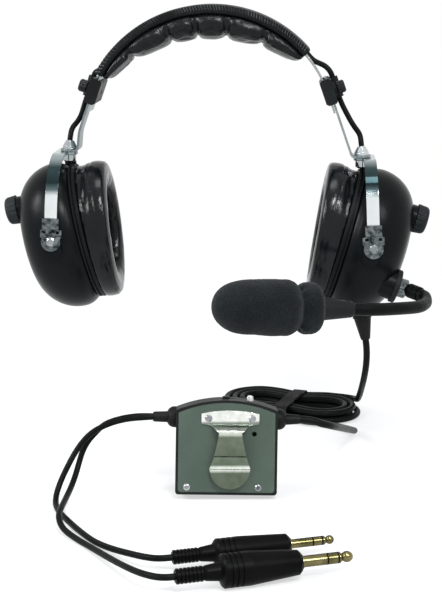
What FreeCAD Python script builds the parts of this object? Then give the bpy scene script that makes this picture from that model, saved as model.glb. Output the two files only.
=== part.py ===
import FreeCAD
import Part
import math
import os

# Aviation headset. +X is the wearer's left, +Y the back of the head and +Z up,
# with the origin in the middle of the head between the two ear cups. Millimetres.

V = FreeCAD.Vector
Place = FreeCAD.Placement
Turn = FreeCAD.Rotation
LEFT = 1
RIGHT = -1
SIDES = {"left": LEFT, "right": RIGHT}

doc = FreeCAD.newDocument("headset")
sizes = doc.addObject("Spreadsheet::Sheet", "sizes")

DRIVING = [
    ("spring_radius", 82.0, "middle of the arched spring"),
    ("spring_centre", 67.0, "height of the arch's centre"),
    ("spring_shift", -3.5, "the arch sits a little to the right ear"),
    ("spring_end", 70.5, "degrees from the top to the arch's end"),
    ("spring_straight", 11.7, "straight end of the spring"),
    ("spring_width", 27.0, ""),
    ("spring_thick", 1.2, ""),
    ("pad_radius", 87.0, "outside of the pad cover"),
    ("pad_centre", 66.2, "height of the cover's centre"),
    ("pad_shift", -3.5, "the pad sits a little to the right ear"),
    ("pad_seam", 80.9, "radius where cover and cushion meet"),
    ("pad_right", -57.0, "degrees from the top to the right end"),
    ("pad_left", 48.5, "degrees from the top to the left end"),
    ("pad_width", 40.0, ""),
    ("cushion_radius", 100.3, "underside of the cushion"),
    ("cushion_centre", 30.5, ""),
    ("cushion_shift", -2.3, ""),
    ("cushion_least", 6.5, "least thickness, towards the ends"),
    ("channel_depth", 2.6, "how far a sewn channel draws the cushion in"),
    ("cable_diameter", 3.6, "crossover cable"),
    ("short_lead", 2.8, "lead from the stud into the cup"),
    ("cable_radius", 82.7, "the cable's run in the cover"),
    ("cable_back", 15.6, "the cable's run behind the middle"),
    ("arm_width", 17.0, ""),
    ("arm_thick", 1.5, ""),
    ("arm_gap", 0.3, "between spring and arm"),
    ("arm_top", 12.0, "arm above the end of the arch"),
    ("bracket_width", 32.0, ""),
    ("bracket_low", -6.0, ""),
    ("bracket_high", 11.0, ""),
    ("left_closer", 2.5, "the left ear is closer to the middle than the right"),
    ("left_lower", 3.0, "and lower"),
    ("left_lean", 2.5, "and its cup leans more"),
    ("yoke_lean", -2.5, "degrees, the stirrups lean in at the top"),
    ("stud_in", 4.7, "yoke stud from the middle of the stirrup"),
    ("bridge_rise", 54.4, "top face of the stirrup's bridge above the pivots"),
    ("yoke_out", 106.0, "pivot axis from the middle of the head"),
    ("yoke_high", 2.0, "pivot axis height"),
    ("strip_width", 8.0, "stirrup strip"),
    ("strip_thick", 1.6, ""),
    ("strip_reach", 44.3, "middle of the stirrup's legs from the middle"),
    ("strip_corner", 31.0, "bend of the stirrup's shoulders"),
    ("clip_face", 42.3, "inner face of the pivot clips"),
    ("clip_thick", 1.2, ""),
    ("cup_out", 115.0, "origin of the ear cup"),
    ("cup_high", -4.0, ""),
    ("cup_lean", 13.0, "degrees, the feet of the cups lean in"),
    ("cup_squash", 0.795, "front to back over top to bottom"),
    ("dome_wall", 2.5, ""),
    ("dome_shoulder", 28.1, "radius of the dome's shoulder"),
    ("dome_waist", 49.6, "half height of the dome"),
    ("dome_widest", -15.4, ""),
    ("dome_rim", -26.7, ""),
    ("dome_rim_half", 43.5, ""),
    ("dome_nose", 15.0, ""),
    ("baffle_thick", 4.3, ""),
    ("seal_face", -46.5, ""),
    ("seal_wedge", 0.11, "the seal is thicker above than below, mm per mm of height"),
    ("speaker_diameter", 40.0, ""),
    ("knob_diameter", 19.5, ""),
    ("knob_high", 24.5, "knob above the cup's origin"),
    ("knob_foot", 14.5, ""),
    ("knob_nose", 22.3, ""),
    ("shaft_diameter", 5.9, ""),
    ("bush_bore", 6.0, ""),
    ("boom_diameter", 8.0, ""),
    ("foam_diameter", 33.6, ""),
    ("lead_diameter", 4.6, "down-lead"),
    ("twin_diameter", 3.7, "cords to the plugs"),
    ("table", -147.0, "height of the table under the cord"),
    ("module_width", 63.0, ""),
    ("module_high", 58.8, ""),
    ("module_shoulder", 52.5, ""),
    ("module_thick", 20.0, ""),
    ("gland_high", 47.0, ""),
    ("clip_standoff", 5.6, "belt clip from the cover"),
    ("phones_shank", 6.35, "standard phones plug"),
    ("mic_shank", 5.23, "standard microphone plug"),
    ("hank_inner", 12.2, ""),
    ("hank_pitch", 5.6, ""),
    ("hank_run", 50.0, ""),
    ("hub_lean", 18.0, "degrees, the axis that the boom turns about"),
    ("hank_waist", 5.0, "how far the runs are drawn in at the tie"),
    ("hank_layer", 5.15, ""),
    ("tie_thick", 0.9, ""),
]


def fill_sheet():
    for row, (alias, value, note) in enumerate(DRIVING, start=1):
        sizes.set(f"A{row}", alias)
        sizes.set(f"B{row}", str(value))
        sizes.set(f"C{row}", note)
        sizes.setAlias(f"B{row}", alias)
    doc.recompute()


def size(alias):
    return float(sizes.get(alias))


def bind(item, prop, value):
    """A number, or an expression on the sheet's cells."""
    if isinstance(value, str):
        item.setExpression(prop, value)
    else:
        setattr(item, prop, value)


# Bodies, sketches and features

nodes = {}


def node(item):
    nodes[item.Label] = item
    return item


def body(label, place=None):
    item = doc.addObject("PartDesign::Body", label)
    item.Label = label
    item.Placement = place or Place()
    return item


def curves(*steps):
    """A closed outline. A step is a corner, or a pair: a point that an arc passes and its end."""
    found = []
    here = steps[0]
    for step in steps[1:] + steps[:1]:
        if isinstance(step[0], tuple):
            found.append(Part.Arc(V(*here), V(*step[0]), V(*step[1])))
            here = step[1]
        elif math.dist(here, step) > 1e-6:
            found.append(Part.LineSegment(V(*here), V(*step)))
            here = step
    return found


def circle(x, y, radius):
    return Part.Circle(V(x, y), V(0, 0, 1), radius)


def oval(half_high, half_wide):
    return Part.Ellipse(V(0, half_high), V(half_wide, 0), V(0, 0))


def rectangle(x0, y0, x1, y1):
    return curves((x0, y0), (x1, y0), (x1, y1), (x0, y1))


def sketch(item, role, drawn, lift=0):
    plane = [part for part in item.Origin.OriginFeatures if part.Role == role][0]
    drawing = item.newObject("Sketcher::SketchObject", item.Label + "_sketch")
    drawing.AttachmentSupport = [(plane, "")]
    drawing.MapMode = "FlatFace"
    drawing.AttachmentOffset = Place(V(0, 0, lift), Turn())
    for curve in drawn:
        drawing.addGeometry(curve, False)
    return drawing


def grow(item, kind, drawing, length, symmetric=False, back=False):
    feature = item.newObject("PartDesign::" + kind, item.Label + "_" + kind.lower())
    feature.Profile = drawing
    bind(feature, "Length", length)
    feature.Midplane = symmetric
    feature.Reversed = back
    item.Tip = feature
    return feature


def pad(item, role, drawn, length, lift=0, symmetric=False, back=False):
    return grow(item, "Pad", sketch(item, role, drawn, lift), length, symmetric, back)


def pocket(item, role, drawn, length, lift=0, symmetric=False, back=False):
    return grow(item, "Pocket", sketch(item, role, drawn, lift), length, symmetric, back)


def revolve(item, drawn):
    """Turned about the body's own X axis, from an outline of (along, radius)."""
    drawing = sketch(item, "XZ_Plane", drawn)
    feature = item.newObject("PartDesign::Revolution", item.Label + "_turned")
    feature.Profile = drawing
    feature.ReferenceAxis = (drawing, ["H_Axis"])
    feature.Angle = 360
    item.Tip = feature
    return feature


def turned(label, place, *steps):
    item = body(label, place)
    revolve(item, curves(*steps))
    return item


def ring_of(item, feature, axis_role, count):
    axis = [part for part in item.Origin.OriginFeatures if part.Role == axis_role][0]
    pattern = item.newObject("PartDesign::PolarPattern", item.Label + "_ring")
    pattern.Originals = [feature]
    pattern.Axis = (axis, [""])
    pattern.Angle = 360
    pattern.Occurrences = count
    item.Tip = pattern
    return pattern


def group(label, items):
    gathered = doc.addObject("Part::Compound", label)
    gathered.Label = label
    gathered.Links = items
    return node(gathered)


def solid(label, shape, place=None):
    item = doc.addObject("Part::Feature", label)
    item.Label = label
    item.Shape = shape
    item.Placement = place or Place()
    return node(item)


# Frames of the moving parts. A side is turned half round for the right ear,
# which suits the cups because they are the same front and back.


def side_turn(side):
    return Turn(V(0, 0, 1), 0 if side == LEFT else 180)


def side_place(side, out=0, high=0, lean=0):
    turn = side_turn(side)
    return Place(turn.multVec(V(out, 0, high)), turn.multiply(Turn(V(0, 1, 0), lean)))


def at_ear(side, out, high):
    """A distance out and a height, moved as far as that ear is."""
    if side == LEFT:
        return out - size("left_closer"), high - size("left_lower")
    return out, high


def cup_place(side):
    out, high = at_ear(side, size("cup_out"), size("cup_high"))
    lean = size("cup_lean") + (size("left_lean") if side == LEFT else 0)
    return side_place(side, out, high, lean)


def arm_place(side):
    angle = math.radians(size("spring_end"))
    out = size("spring_radius") * math.sin(angle) + side * size("spring_shift")
    high = size("spring_centre") + size("spring_radius") * math.cos(angle)
    return side_place(side, out, high, size("spring_end") - 90)


def yoke_place(side):
    out, high = at_ear(side, size("yoke_out"), size("yoke_high"))
    return side_place(side, out, high, size("yoke_lean"))


def stud_place(side):
    """On the stirrup's bridge, with Z up the axis that the stirrup swivels about."""
    return yoke_place(side).multiply(Place(V(-size("stud_in"), 0, size("bridge_rise")), Turn()))


def aimed(start, direction):
    """A place whose own X axis points along a direction."""
    return Place(start, Turn(V(1, 0, 0), direction))


# Bent strips and cords


def strip(points, radii, thick):
    """The outline of a strip bent along points, with a middle radius at each inner point."""
    sides = []
    for half in (thick / 2, -thick / 2):
        edge = []
        heading = unit(points[0], points[1])
        edge.append(offset(points[0], heading, half))
        for i, radius in enumerate(radii, start=1):
            before = unit(points[i - 1], points[i])
            after = unit(points[i], points[i + 1])
            cross = before[0] * after[1] - before[1] * after[0]
            dot = before[0] * after[0] + before[1] * after[1]
            angle = math.atan2(cross, dot)
            cut = radius * math.tan(abs(angle) / 2)
            start = (points[i][0] - before[0] * cut, points[i][1] - before[1] * cut)
            sign = math.copysign(1, angle)
            centre = offset(start, before, sign * radius)
            reach = radius - sign * half
            middle = math.atan2(start[1] - centre[1], start[0] - centre[0]) + angle / 2
            through = (
                centre[0] + reach * math.cos(middle),
                centre[1] + reach * math.sin(middle),
            )
            end = (points[i][0] + after[0] * cut, points[i][1] + after[1] * cut)
            edge.append(offset(start, before, half))
            edge.append((through, offset(end, after, half)))
            heading = after
        heading = unit(points[-2], points[-1])
        edge.append(offset(points[-1], heading, half))
        sides.append(edge)
    return curves(*sides[0], *backwards(sides[1]))


def unit(a, b):
    length = math.dist(a, b)
    return ((b[0] - a[0]) / length, (b[1] - a[1]) / length)


def offset(point, heading, by):
    return (point[0] - heading[1] * by, point[1] + heading[0] * by)


def backwards(steps):
    """The same outline walked from its end."""
    ends = [step[1] if isinstance(step[0], tuple) else step for step in steps]
    found = [ends[-1]]
    for i in range(len(steps) - 1, 0, -1):
        if isinstance(steps[i][0], tuple):
            found.append((steps[i][0], ends[i - 1]))
        else:
            found.append(ends[i - 1])
    return found


def rounded(points):
    """Straight runs joined by arcs that are as large as the two runs allow."""
    points = [V(*point) for point in points]
    edges = []
    radii = []
    here = points[0]
    for before, corner, after in zip(points, points[1:], points[2:]):
        run_in = corner - before
        run_out = after - corner
        half = run_in.getAngle(run_out) / 2
        cut = 0.45 * min(run_in.Length, run_out.Length)
        radii.append(cut / math.tan(half))
        start = corner - V(run_in).normalize() * cut
        end = corner + V(run_out).normalize() * cut
        inward = (start + end) * 0.5 - corner
        to_arc = radii[-1] / math.cos(half) - radii[-1]
        through = corner + inward.normalize() * to_arc
        if (start - here).Length > 1e-6:
            edges.append(Part.LineSegment(here, start).toShape())
        edges.append(Part.Arc(start, through, end).toShape())
        here = end
    edges.append(Part.LineSegment(here, points[-1]).toShape())
    return edges, radii


def tube(label, edges, diameter):
    wire = Part.Wire(edges)
    first = edges[0]
    start = first.valueAt(first.FirstParameter)
    heading = first.tangentAt(first.FirstParameter)
    profile = Part.Wire([Part.Circle(start, heading, diameter / 2).toShape()])
    shape = wire.makePipeShell([profile], True, False)
    due = math.pi * diameter**2 / 4 * wire.Length
    print(f"{label}: {wire.Length:.0f} mm long, volume {shape.Volume / due:.4f} of section x length")
    return solid(label, shape)


def cord(label, points, diameter):
    edges, radii = rounded(points)
    print(f"{label}: radii " + " ".join(f"{radius:.0f}" for radius in radii))
    return tube(label, edges, diameter)


# Headband


def polar(out, high, radius, degrees):
    angle = math.radians(degrees)
    return (out + radius * math.sin(angle), high + radius * math.cos(angle))


def spring_line():
    """The middle of the spring: two straight ends and one bend whose corner is above the head."""
    arch = math.radians(size("spring_end"))
    out, high = polar(0, size("spring_centre"), size("spring_radius"), size("spring_end"))
    out += size("spring_straight") * math.cos(arch)
    high -= size("spring_straight") * math.sin(arch)
    top = size("spring_centre") + size("spring_radius") / math.cos(arch)
    middle = size("spring_shift")
    return [(middle - out, high), (middle, top), (middle + out, high)]


def make_spring():
    item = body("headband_spring")
    drawn = strip(spring_line(), [size("spring_radius")], size("spring_thick"))
    pad(item, "XZ_Plane", drawn, "sizes.spring_width", symmetric=True)
    node(item)


def arc_band(out, high, low_radius, top, low_angle, high_angle):
    """A band between an arc about the spring's centre and an arc about another centre."""
    middle = (low_angle + high_angle) / 2
    return curves(
        polar(out, high, top, low_angle),
        (polar(out, high, top, middle), polar(out, high, top, high_angle)),
        seam_point(low_radius, high_angle),
        (seam_point(low_radius, middle), seam_point(low_radius, low_angle)),
    )


def seam_point(radius, angle):
    """Where a ray of the pad meets a circle about the spring's centre."""
    return ray_to((size("spring_shift"), size("spring_centre")), radius, angle)


def ray_to(centre, radius, angle):
    start = (size("pad_shift"), size("pad_centre"))
    ray = (math.sin(math.radians(angle)), math.cos(math.radians(angle)))
    away = (start[0] - centre[0], start[1] - centre[1])
    along = away[0] * ray[0] + away[1] * ray[1]
    reach = -along + math.sqrt(along**2 - away[0] ** 2 - away[1] ** 2 + radius**2)
    return (start[0] + ray[0] * reach, start[1] + ray[1] * reach)


def make_pad_cover():
    item = body("head_pad_cover")
    band = arc_band(
        size("pad_shift"),
        size("pad_centre"),
        size("pad_seam"),
        size("pad_radius"),
        size("pad_right"),
        size("pad_left"),
    )
    feature = pad(item, "XZ_Plane", band, "sizes.pad_width", symmetric=True)
    doc.recompute()
    rims = []
    for number, edge in enumerate(feature.Shape.Edges, start=1):
        if hasattr(edge.Curve, "Radius") and abs(edge.Curve.Radius - size("pad_radius")) < 0.01:
            rims.append(f"Edge{number}")
    rounding = item.newObject("PartDesign::Fillet", "cover_rims")
    rounding.Base = (feature, rims)
    rounding.Radius = 1.8
    item.Tip = rounding
    slot = 0.2
    thick = size("spring_thick") + 2 * slot
    pocket(
        item,
        "XZ_Plane",
        strip(spring_line(), [size("spring_radius")], thick),
        "sizes.spring_width + 0.6",
        symmetric=True,
    )
    half_bore = size("cable_diameter") / 2 + 0.2
    run = size("cable_radius")
    channel = arc_ring(run - half_bore, run + half_bore, 80)
    pocket(item, "XZ_Plane", channel, 2 * half_bore, lift=-size("cable_back"), symmetric=True)
    for side in (LEFT, RIGHT):
        low, high = 6, 26
        inner = size("spring_thick") / 2
        outer = inner + size("arm_gap") + size("arm_thick") + 0.5
        corners = [(inner, low), (outer, low), (outer, high), (inner, high)]
        placed = [arm_place(side).multVec(V(x, 0, z)) for x, z in corners]
        drawn = curves(*[(point.x, point.z) for point in placed])
        pocket(item, "XZ_Plane", drawn, size("arm_width") + 1.0, symmetric=True)
    node(item)


def arc_ring(low, high, reach):
    """A band round the spring's centre, from -reach to reach degrees."""
    middle, centre = size("spring_shift"), size("spring_centre")
    return curves(
        polar(middle, centre, high, -reach),
        (polar(middle, centre, high, 0), polar(middle, centre, high, reach)),
        polar(middle, centre, low, reach),
        (polar(middle, centre, low, 0), polar(middle, centre, low, -reach)),
    )


def pad_section(angle, drawn_in):
    """A section of the cushion across the head: flat top, bulging sides and a crowned underside."""
    top = seam_point(size("pad_seam"), angle)
    low = ray_to((size("cushion_shift"), size("cushion_centre")), size("cushion_radius"), angle)
    ray = V(math.sin(math.radians(angle)), 0, math.cos(math.radians(angle)))
    start = V(size("pad_shift"), 0, size("pad_centre"))
    outer = math.dist((start.x, start.z), top)
    inner = min(math.dist((start.x, start.z), low), outer - size("cushion_least")) + drawn_in
    half = size("pad_width") / 2 - 1 - 0.8 * drawn_in

    def at(across, radius):
        return start + ray * radius + V(0, across, 0)

    rise = 2.4
    middle = (outer + inner) / 2
    return Part.Wire(
        [
            Part.LineSegment(at(-half + 1.5, outer), at(half - 1.5, outer)).toShape(),
            Part.Arc(
                at(half - 1.5, outer), at(half, middle), at(half - 4, inner + rise)
            ).toShape(),
            Part.Arc(
                at(half - 4, inner + rise), at(0, inner), at(-half + 4, inner + rise)
            ).toShape(),
            Part.Arc(
                at(-half + 4, inner + rise), at(-half, middle), at(-half + 1.5, outer)
            ).toShape(),
        ]
    )


def make_cushion():
    """Six pillows between sewn channels, each drawn in at its ends."""
    seams = [size("pad_right"), -44, -22, -7.5, 8.5, 28, size("pad_left")]
    depth = size("channel_depth")
    pillows = []
    for low, high in zip(seams, seams[1:]):
        share = [(0, depth), (0.14, 0.5), (0.5, 0), (0.86, 0.5), (1, depth)]
        wires = [pad_section(low + (high - low) * along, inset) for along, inset in share]
        pillows.append(Part.makeLoft(wires, True, False))
    solid("head_pad_cushion", pillows[0].fuse(pillows[1:]).removeSplitter())


def make_brackets():
    """Black clamps on the ends of the spring, with a slide for the arm and a bore for the cable."""
    clamps = []
    low, high = size("bracket_low"), size("bracket_high")
    inner = size("spring_thick") / 2
    arm_out = inner + size("arm_gap") + size("arm_thick") + 0.3
    for name, side in SIDES.items():
        item = body(name + "_bracket", arm_place(side))
        outline = curves(
            (-3.2, low + 1.5),
            (-3.2, high - 1.5),
            (-1.7, high),
            (3.4, high),
            (4.6, high - 1.2),
            (4.6, low + 1.2),
            (3.4, low),
            (-1.7, low),
        )
        pad(item, "XZ_Plane", outline, "sizes.bracket_width", symmetric=True)
        cable_y = 12 * side
        saddle = curves(
            (4.0, cable_y - 3.4),
            (7.2, cable_y - 3.4),
            ((9.4, cable_y), (7.2, cable_y + 3.4)),
            (4.0, cable_y + 3.4),
        )
        pad(item, "XY_Plane", saddle, high - low - 3, lift=low + 1.5)
        boss = [circle(0, (low + high) / 2, 4.2)]
        pad(item, "YZ_Plane", boss, 2.2, lift=4.0)
        spring_way = curves(
            (-inner, low - 1),
            (-inner, 0),
            (-inner - 1.0, high + 1),
            (inner + 0.15, high + 1),
            (inner + 0.15, low - 1),
        )
        pocket(item, "XZ_Plane", spring_way, "sizes.spring_width + 0.5", symmetric=True)
        arm_way = rectangle(inner, low - 1, arm_out, high + 1)
        pocket(item, "XZ_Plane", arm_way, "sizes.arm_width + 0.8", symmetric=True)
        pocket(item, "XY_Plane", [circle(6.2, cable_y, 2.0)], 40, symmetric=True)
        pocket(item, "YZ_Plane", [circle(0, (low + high) / 2, 2.0)], 12, lift=8, back=False)
        clamps.append(item)
    group("slide_brackets", clamps)


def make_clamp_screws():
    """Thumb screws with fluted heads, which press on the arms when they are tightened."""
    middle = (size("bracket_low") + size("bracket_high")) / 2
    screws = []
    for name, side in SIDES.items():
        frame = arm_place(side).multiply(Place(V(0, 0, middle), Turn()))
        item = turned(
            name + "_thumb_screw",
            frame,
            (2.8, 0),
            (2.8, 1.95),
            (6.5, 1.95),
            (6.5, 3.1),
            (7.4, 4.2),
            (11.2, 4.2),
            (12.2, 3.4),
            (12.2, 0),
        )
        flute = pocket(item, "YZ_Plane", [circle(0, 4.6, 0.9)], 12, lift=13, back=False)
        ring_of(item, flute, "X_Axis", 9)
        screws.append(item)
    group("clamp_screws", screws)


def make_crossover():
    """The cable between the cups: through a bracket, under the cover and through the other."""
    run = size("cable_radius")
    centre = size("spring_centre")
    back = size("cable_back")
    middle = size("spring_shift")
    ends = {}
    for side, angle, step, rise in ((LEFT, 49.0, 7, 5), (RIGHT, -57.5, 4, 3)):
        out, high = polar(middle, centre, run, angle)
        leave = V(out, back, high)
        heading = V(math.cos(math.radians(angle)), 0, -math.sin(math.radians(angle))) * side
        frame = arm_place(side)
        above = frame.multVec(V(6.2, 12 * side, size("bracket_high") + rise))
        inside = frame.multVec(V(6.2, 12 * side, 3.0))
        ends[side] = [tuple(leave), tuple(leave + heading * step), tuple(above), tuple(inside)]
    left_edges, left_radii = rounded(ends[LEFT])
    right_edges, right_radii = rounded(ends[RIGHT][::-1])
    radii = right_radii + left_radii
    print("crossover_cable: radii " + " ".join(f"{radius:.1f}" for radius in radii))
    arch = Part.Arc(V(*ends[RIGHT][0]), V(middle, back, centre + run), V(*ends[LEFT][0]))
    tube("crossover_cable", right_edges + [arch.toShape()] + left_edges, size("cable_diameter"))


# Arm, stud and stirrup


def bracket_from_stud(side):
    return stud_place(side).inverse().multiply(arm_place(side))


def arm_line(side):
    """The middle of the arm strip in the stud's frame: down, clear of the stud, then a flat foot."""
    frame = bracket_from_stud(side)
    inner = size("spring_thick") / 2 + size("arm_gap") + size("arm_thick") / 2
    top = frame.multVec(V(inner, 0, size("arm_top")))
    foot = 0.3 + size("arm_thick") / 2
    heading = frame.Rotation.multVec(V(0, 0, -1))
    fall = (foot - top.z) / heading.z
    bend = top + heading * fall
    line = [(top.x, top.z), (min(bend.x, -6.4), foot), (6.0, foot)]
    if bend.x > -6.4:
        knee = top + heading * fall * 0.74
        line.insert(1, (knee.x, knee.z))
    return line


def make_arm(name, side):
    item = body(name + "_arm_strip", stud_place(side))
    line = arm_line(side)
    radii = [20.0] * (len(line) - 3) + [3.0]
    drawn = strip(line, radii, size("arm_thick"))
    pad(item, "XZ_Plane", drawn, "sizes.arm_width", symmetric=True)
    half = size("arm_width") / 2
    trim = curves(
        (-4, half + 1),
        (8, half + 1),
        (8, -half - 1),
        (-4, -half - 1),
        (-4, -half + 0.5),
        (0, -6.0),
        ((6.0, 0), (0, 6.0)),
        (-4, half - 0.5),
    )
    pocket(item, "XY_Plane", trim, 8, lift=5)
    pocket(item, "XY_Plane", [circle(0, 0, 3.0)], 8, lift=5)
    node(item)


def make_arm_cable(name, side):
    """From the bracket's bore down to the stud, bowed a little outward."""
    frame = bracket_from_stud(side)
    cable_y = 12 * side
    start = frame.multVec(V(6.2, cable_y, 2.5))
    leave = frame.multVec(V(6.2, cable_y, -9.0))
    points = [
        (start.x, cable_y, start.z),
        (leave.x, cable_y, leave.z),
        (-5.6, 8.5 * side, 22.0),
        (-0.6, 2.5 * side, 15.0),
        (0, 0, 8.5),
        (0, 0, 3.8),
    ]
    placed = [stud_place(side).multVec(V(*point)) for point in points]
    cord(name + "_arm_cable", [tuple(point) for point in placed], size("cable_diameter"))


def make_stud(name, side):
    """The hollow stud that holds the stirrup under the arm, and lets it swivel."""
    frame = stud_place(side).multiply(Place(V(), Turn(V(0, 1, 0), -90)))
    top = 0.3 + size("arm_thick")
    item = turned(
        name + "_yoke_stud",
        frame,
        (-7.0, 1.9),
        (-7.0, 3.0),
        (-5.9, 4.5),
        (-1.9, 4.5),
        (-1.9, 2.9),
        (0.15, 2.9),
        (0.15, 3.0),
        (top, 3.0),
        (top, 4.8),
        (top + 1.6, 4.8),
        (top + 5.2, 2.9),
        (top + 6.0, 1.9),
    )
    node(item)


def make_stirrup(name, side):
    """A chrome strip bent over the cup, with a bridge that reaches in to the stud."""
    item = body(name + "_stirrup", yoke_place(side))
    reach = size("strip_reach")
    high = size("bridge_rise") - size("strip_thick") / 2
    low = 9.0
    line = [(-reach, low), (-reach, high), (reach, high), (reach, low)]
    corner = size("strip_corner")
    arch = strip(line, [corner, corner], size("strip_thick"))
    pad(item, "YZ_Plane", arch, "sizes.strip_width", symmetric=True)
    to_stud = -size("stud_in")
    top = size("bridge_rise")
    bridge = curves(
        (2, 8.5),
        (-3.9, 8.5),
        (to_stud, 5.6),
        ((to_stud - 5.6, 0), (to_stud, -5.6)),
        (-3.9, -8.5),
        (2, -8.5),
    )
    pad(item, "XY_Plane", bridge, "sizes.strip_thick", lift=top - size("strip_thick"))
    pocket(item, "XY_Plane", [circle(to_stud, 0, 2.96)], 8, lift=top + 3, back=False)
    node(item)


def make_pivot_clips(name, side):
    """Stamped clips: a sleeve round the strip's end and a plate with ears round the pivot."""
    face, thick = size("clip_face"), size("clip_thick")
    clips = []
    for label, way in (("front", -1), ("rear", 1)):
        frame = yoke_place(side)
        turn = Turn(V(0, 0, 1), 0 if way < 0 else 180)
        item = body(f"{name}_{label}_clip", Place(frame.Base, frame.Rotation.multiply(turn)))
        plate = curves(
            (-4.0, 12.0),
            (-4.0, 8.2),
            (-7.0, 7.4),
            (-7.0, 2.6),
            (-5.9, 2.0),
            ((0, -6.6), (5.9, 2.0)),
            (7.0, 2.6),
            (7.0, 7.4),
            (4.0, 8.2),
            (4.0, 12.0),
        )
        pad(item, "XZ_Plane", plate, "sizes.clip_thick", lift=face)
        sleeve = rectangle(-5.4, -face - 3.9, 5.4, -face + 1.0)
        pad(item, "XY_Plane", sleeve, 7.0, lift=8.6)
        room = rectangle(-4.15, -face - thick - size("strip_thick") - 0.15, 4.15, -face - thick)
        pocket(item, "XY_Plane", room, 20, lift=20, back=False)
        pocket(item, "XZ_Plane", [circle(0, 0, 1.56)], 20, symmetric=False, lift=face + 8)
        for ear in (-1, 1):
            notch = rectangle(*sorted_box(ear * 3.4, 5.2, ear * 5.4, 7.0))
            pocket(item, "XZ_Plane", notch, 6, lift=face + 5)
        clips.append(item)
    group(name + "_pivot_clips", clips)


def sorted_box(x0, y0, x1, y1):
    return min(x0, x1), min(y0, y1), max(x0, x1), max(y0, y1)


def make_pivot_screws(name, side):
    face, thick = size("clip_face"), size("clip_thick")
    screws = []
    for label, way in (("front", -1), ("rear", 1)):
        frame = yoke_place(side)
        turn = Turn(V(0, 0, 1), -90 if way < 0 else 90)
        item = turned(
            f"{name}_{label}_pivot",
            Place(frame.Base, frame.Rotation.multiply(turn)),
            (face - 5.0, 0),
            (face - 5.0, 1.5),
            (face + thick + 0.2, 1.5),
            (face + thick + 0.2, 2.9),
            (face + thick + 0.9, 2.9),
            (face + thick + 1.6, 1.9),
            (face + thick + 1.6, 0),
        )
        screws.append(item)
    group(name + "_pivot_screws", screws)


# Ear cup


def dome_profile(inset):
    """Half of the dome's section: nose, shoulder and tuck, as three tangent arcs and a wall."""
    shoulder = size("dome_shoulder")
    centre = (size("dome_widest"), size("dome_waist") - shoulder)
    turn = math.radians(11)
    nose_radius = centre[1] / math.sin(turn) + shoulder
    nose_centre = centre[0] - (nose_radius - shoulder) * math.cos(turn)
    tuck_drop = size("dome_waist") - size("dome_rim_half")
    tuck_back = size("dome_widest") - size("dome_rim")
    tuck = (tuck_back**2 + tuck_drop**2) / (2 * tuck_drop)
    tuck_centre = (size("dome_widest"), size("dome_waist") - tuck)
    tuck_end = math.atan2(size("dome_rim_half") - tuck_centre[1], size("dome_rim") - tuck_centre[0])

    def around(middle, radius, angle):
        return (middle[0] + radius * math.cos(angle), middle[1] + radius * math.sin(angle))

    nose = (nose_centre + nose_radius - inset, 0)
    first = around((nose_centre, 0), nose_radius - inset, turn / 2)
    second = around((nose_centre, 0), nose_radius - inset, turn)
    half_way = around(centre, shoulder - inset, (turn + math.pi / 2) / 2)
    widest = around(centre, shoulder - inset, math.pi / 2)
    late = around(tuck_centre, tuck - inset, (math.pi / 2 + tuck_end) / 2)
    rim = around(tuck_centre, tuck - inset, tuck_end)
    return nose, first, second, half_way, widest, late, rim


def revolved(steps):
    """A solid of revolution about the cup's axis, squashed to the cup's oval."""
    wire = Part.Wire([curve.toShape() for curve in curves(*steps)])
    turned_face = Part.Face(wire).revolve(V(0, 0, 0), V(1, 0, 0), 360)
    squash = FreeCAD.Matrix()
    squash.scale(V(1, size("cup_squash"), 1))
    return turned_face.transformGeometry(squash)


def dome_solid(inset, back):
    nose, first, second, half_way, widest, late, rim = dome_profile(inset)
    return revolved(
        [
            (back, 0),
            nose,
            (first, second),
            (half_way, widest),
            (late, rim),
            (back, rim[1]),
        ]
    )


def hub_place():
    """The boom's base on the left dome: its own X axis is the axis that the boom turns about."""
    return Place(V(119.0, -20.0, -29.6), Turn(V(0, 1, 0), size("hub_lean")))


LEAD_DEPTH = 5.0


def lead_entry(side):
    """Where the lead from the stud turns down into the cup, in the cup's frame."""
    return cup_place(side).inverse().multVec(stud_place(side).multVec(V(0, 0, -7.6)))


def make_dome(name, side):
    """The moulded cup, with pivot bosses front and back and a collar under the knob."""
    rim = size("dome_rim")
    outer = dome_solid(0, rim)
    inner = dome_solid(size("dome_wall"), rim - 5)
    yoke = cup_place(side).inverse().multiply(yoke_place(side)).Base
    face = size("clip_face") - 0.3
    boss = Part.makeCylinder(7.2, 2 * face, V(yoke.x, -face, yoke.z), V(0, 1, 0))
    tail = Part.makeCylinder(5.4, 2 * face, V(yoke.x, -face, yoke.z - 6.8), V(0, 1, 0))
    knob_high = size("knob_high")
    collar = Part.makeCylinder(8.5, 12, V(size("knob_foot") - 12.3, 0, knob_high), V(1, 0, 0))
    shape = outer.fuse([boss, tail, collar])
    if side == LEFT:
        frame = cup_place(side).inverse().multiply(hub_place())
        axis = frame.Rotation.multVec(V(1, 0, 0))
        seat = Part.makeCylinder(10.0, 14, frame.Base - axis * 14, axis)
        spot_face = Part.makeCylinder(12.0, 20, frame.Base, axis)
        shape = shape.fuse(seat).cut(spot_face)
    shape = shape.cut(inner)
    bush = Part.makeCylinder(3.6, 30, V(0, 0, knob_high), V(1, 0, 0))
    pilot = Part.makeCylinder(1.5, 2 * face + 2, V(yoke.x, -face - 1, yoke.z), V(0, 1, 0))
    entry = lead_entry(side)
    bore = size("short_lead") / 2 + 0.15
    lead_way = Part.makeCylinder(bore, 9, V(entry.x, 0, entry.z - LEAD_DEPTH), V(0, 0, 1))
    shape = shape.cut([bush, pilot, lead_way])
    solid(name + "_dome", shape, cup_place(side))


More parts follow.
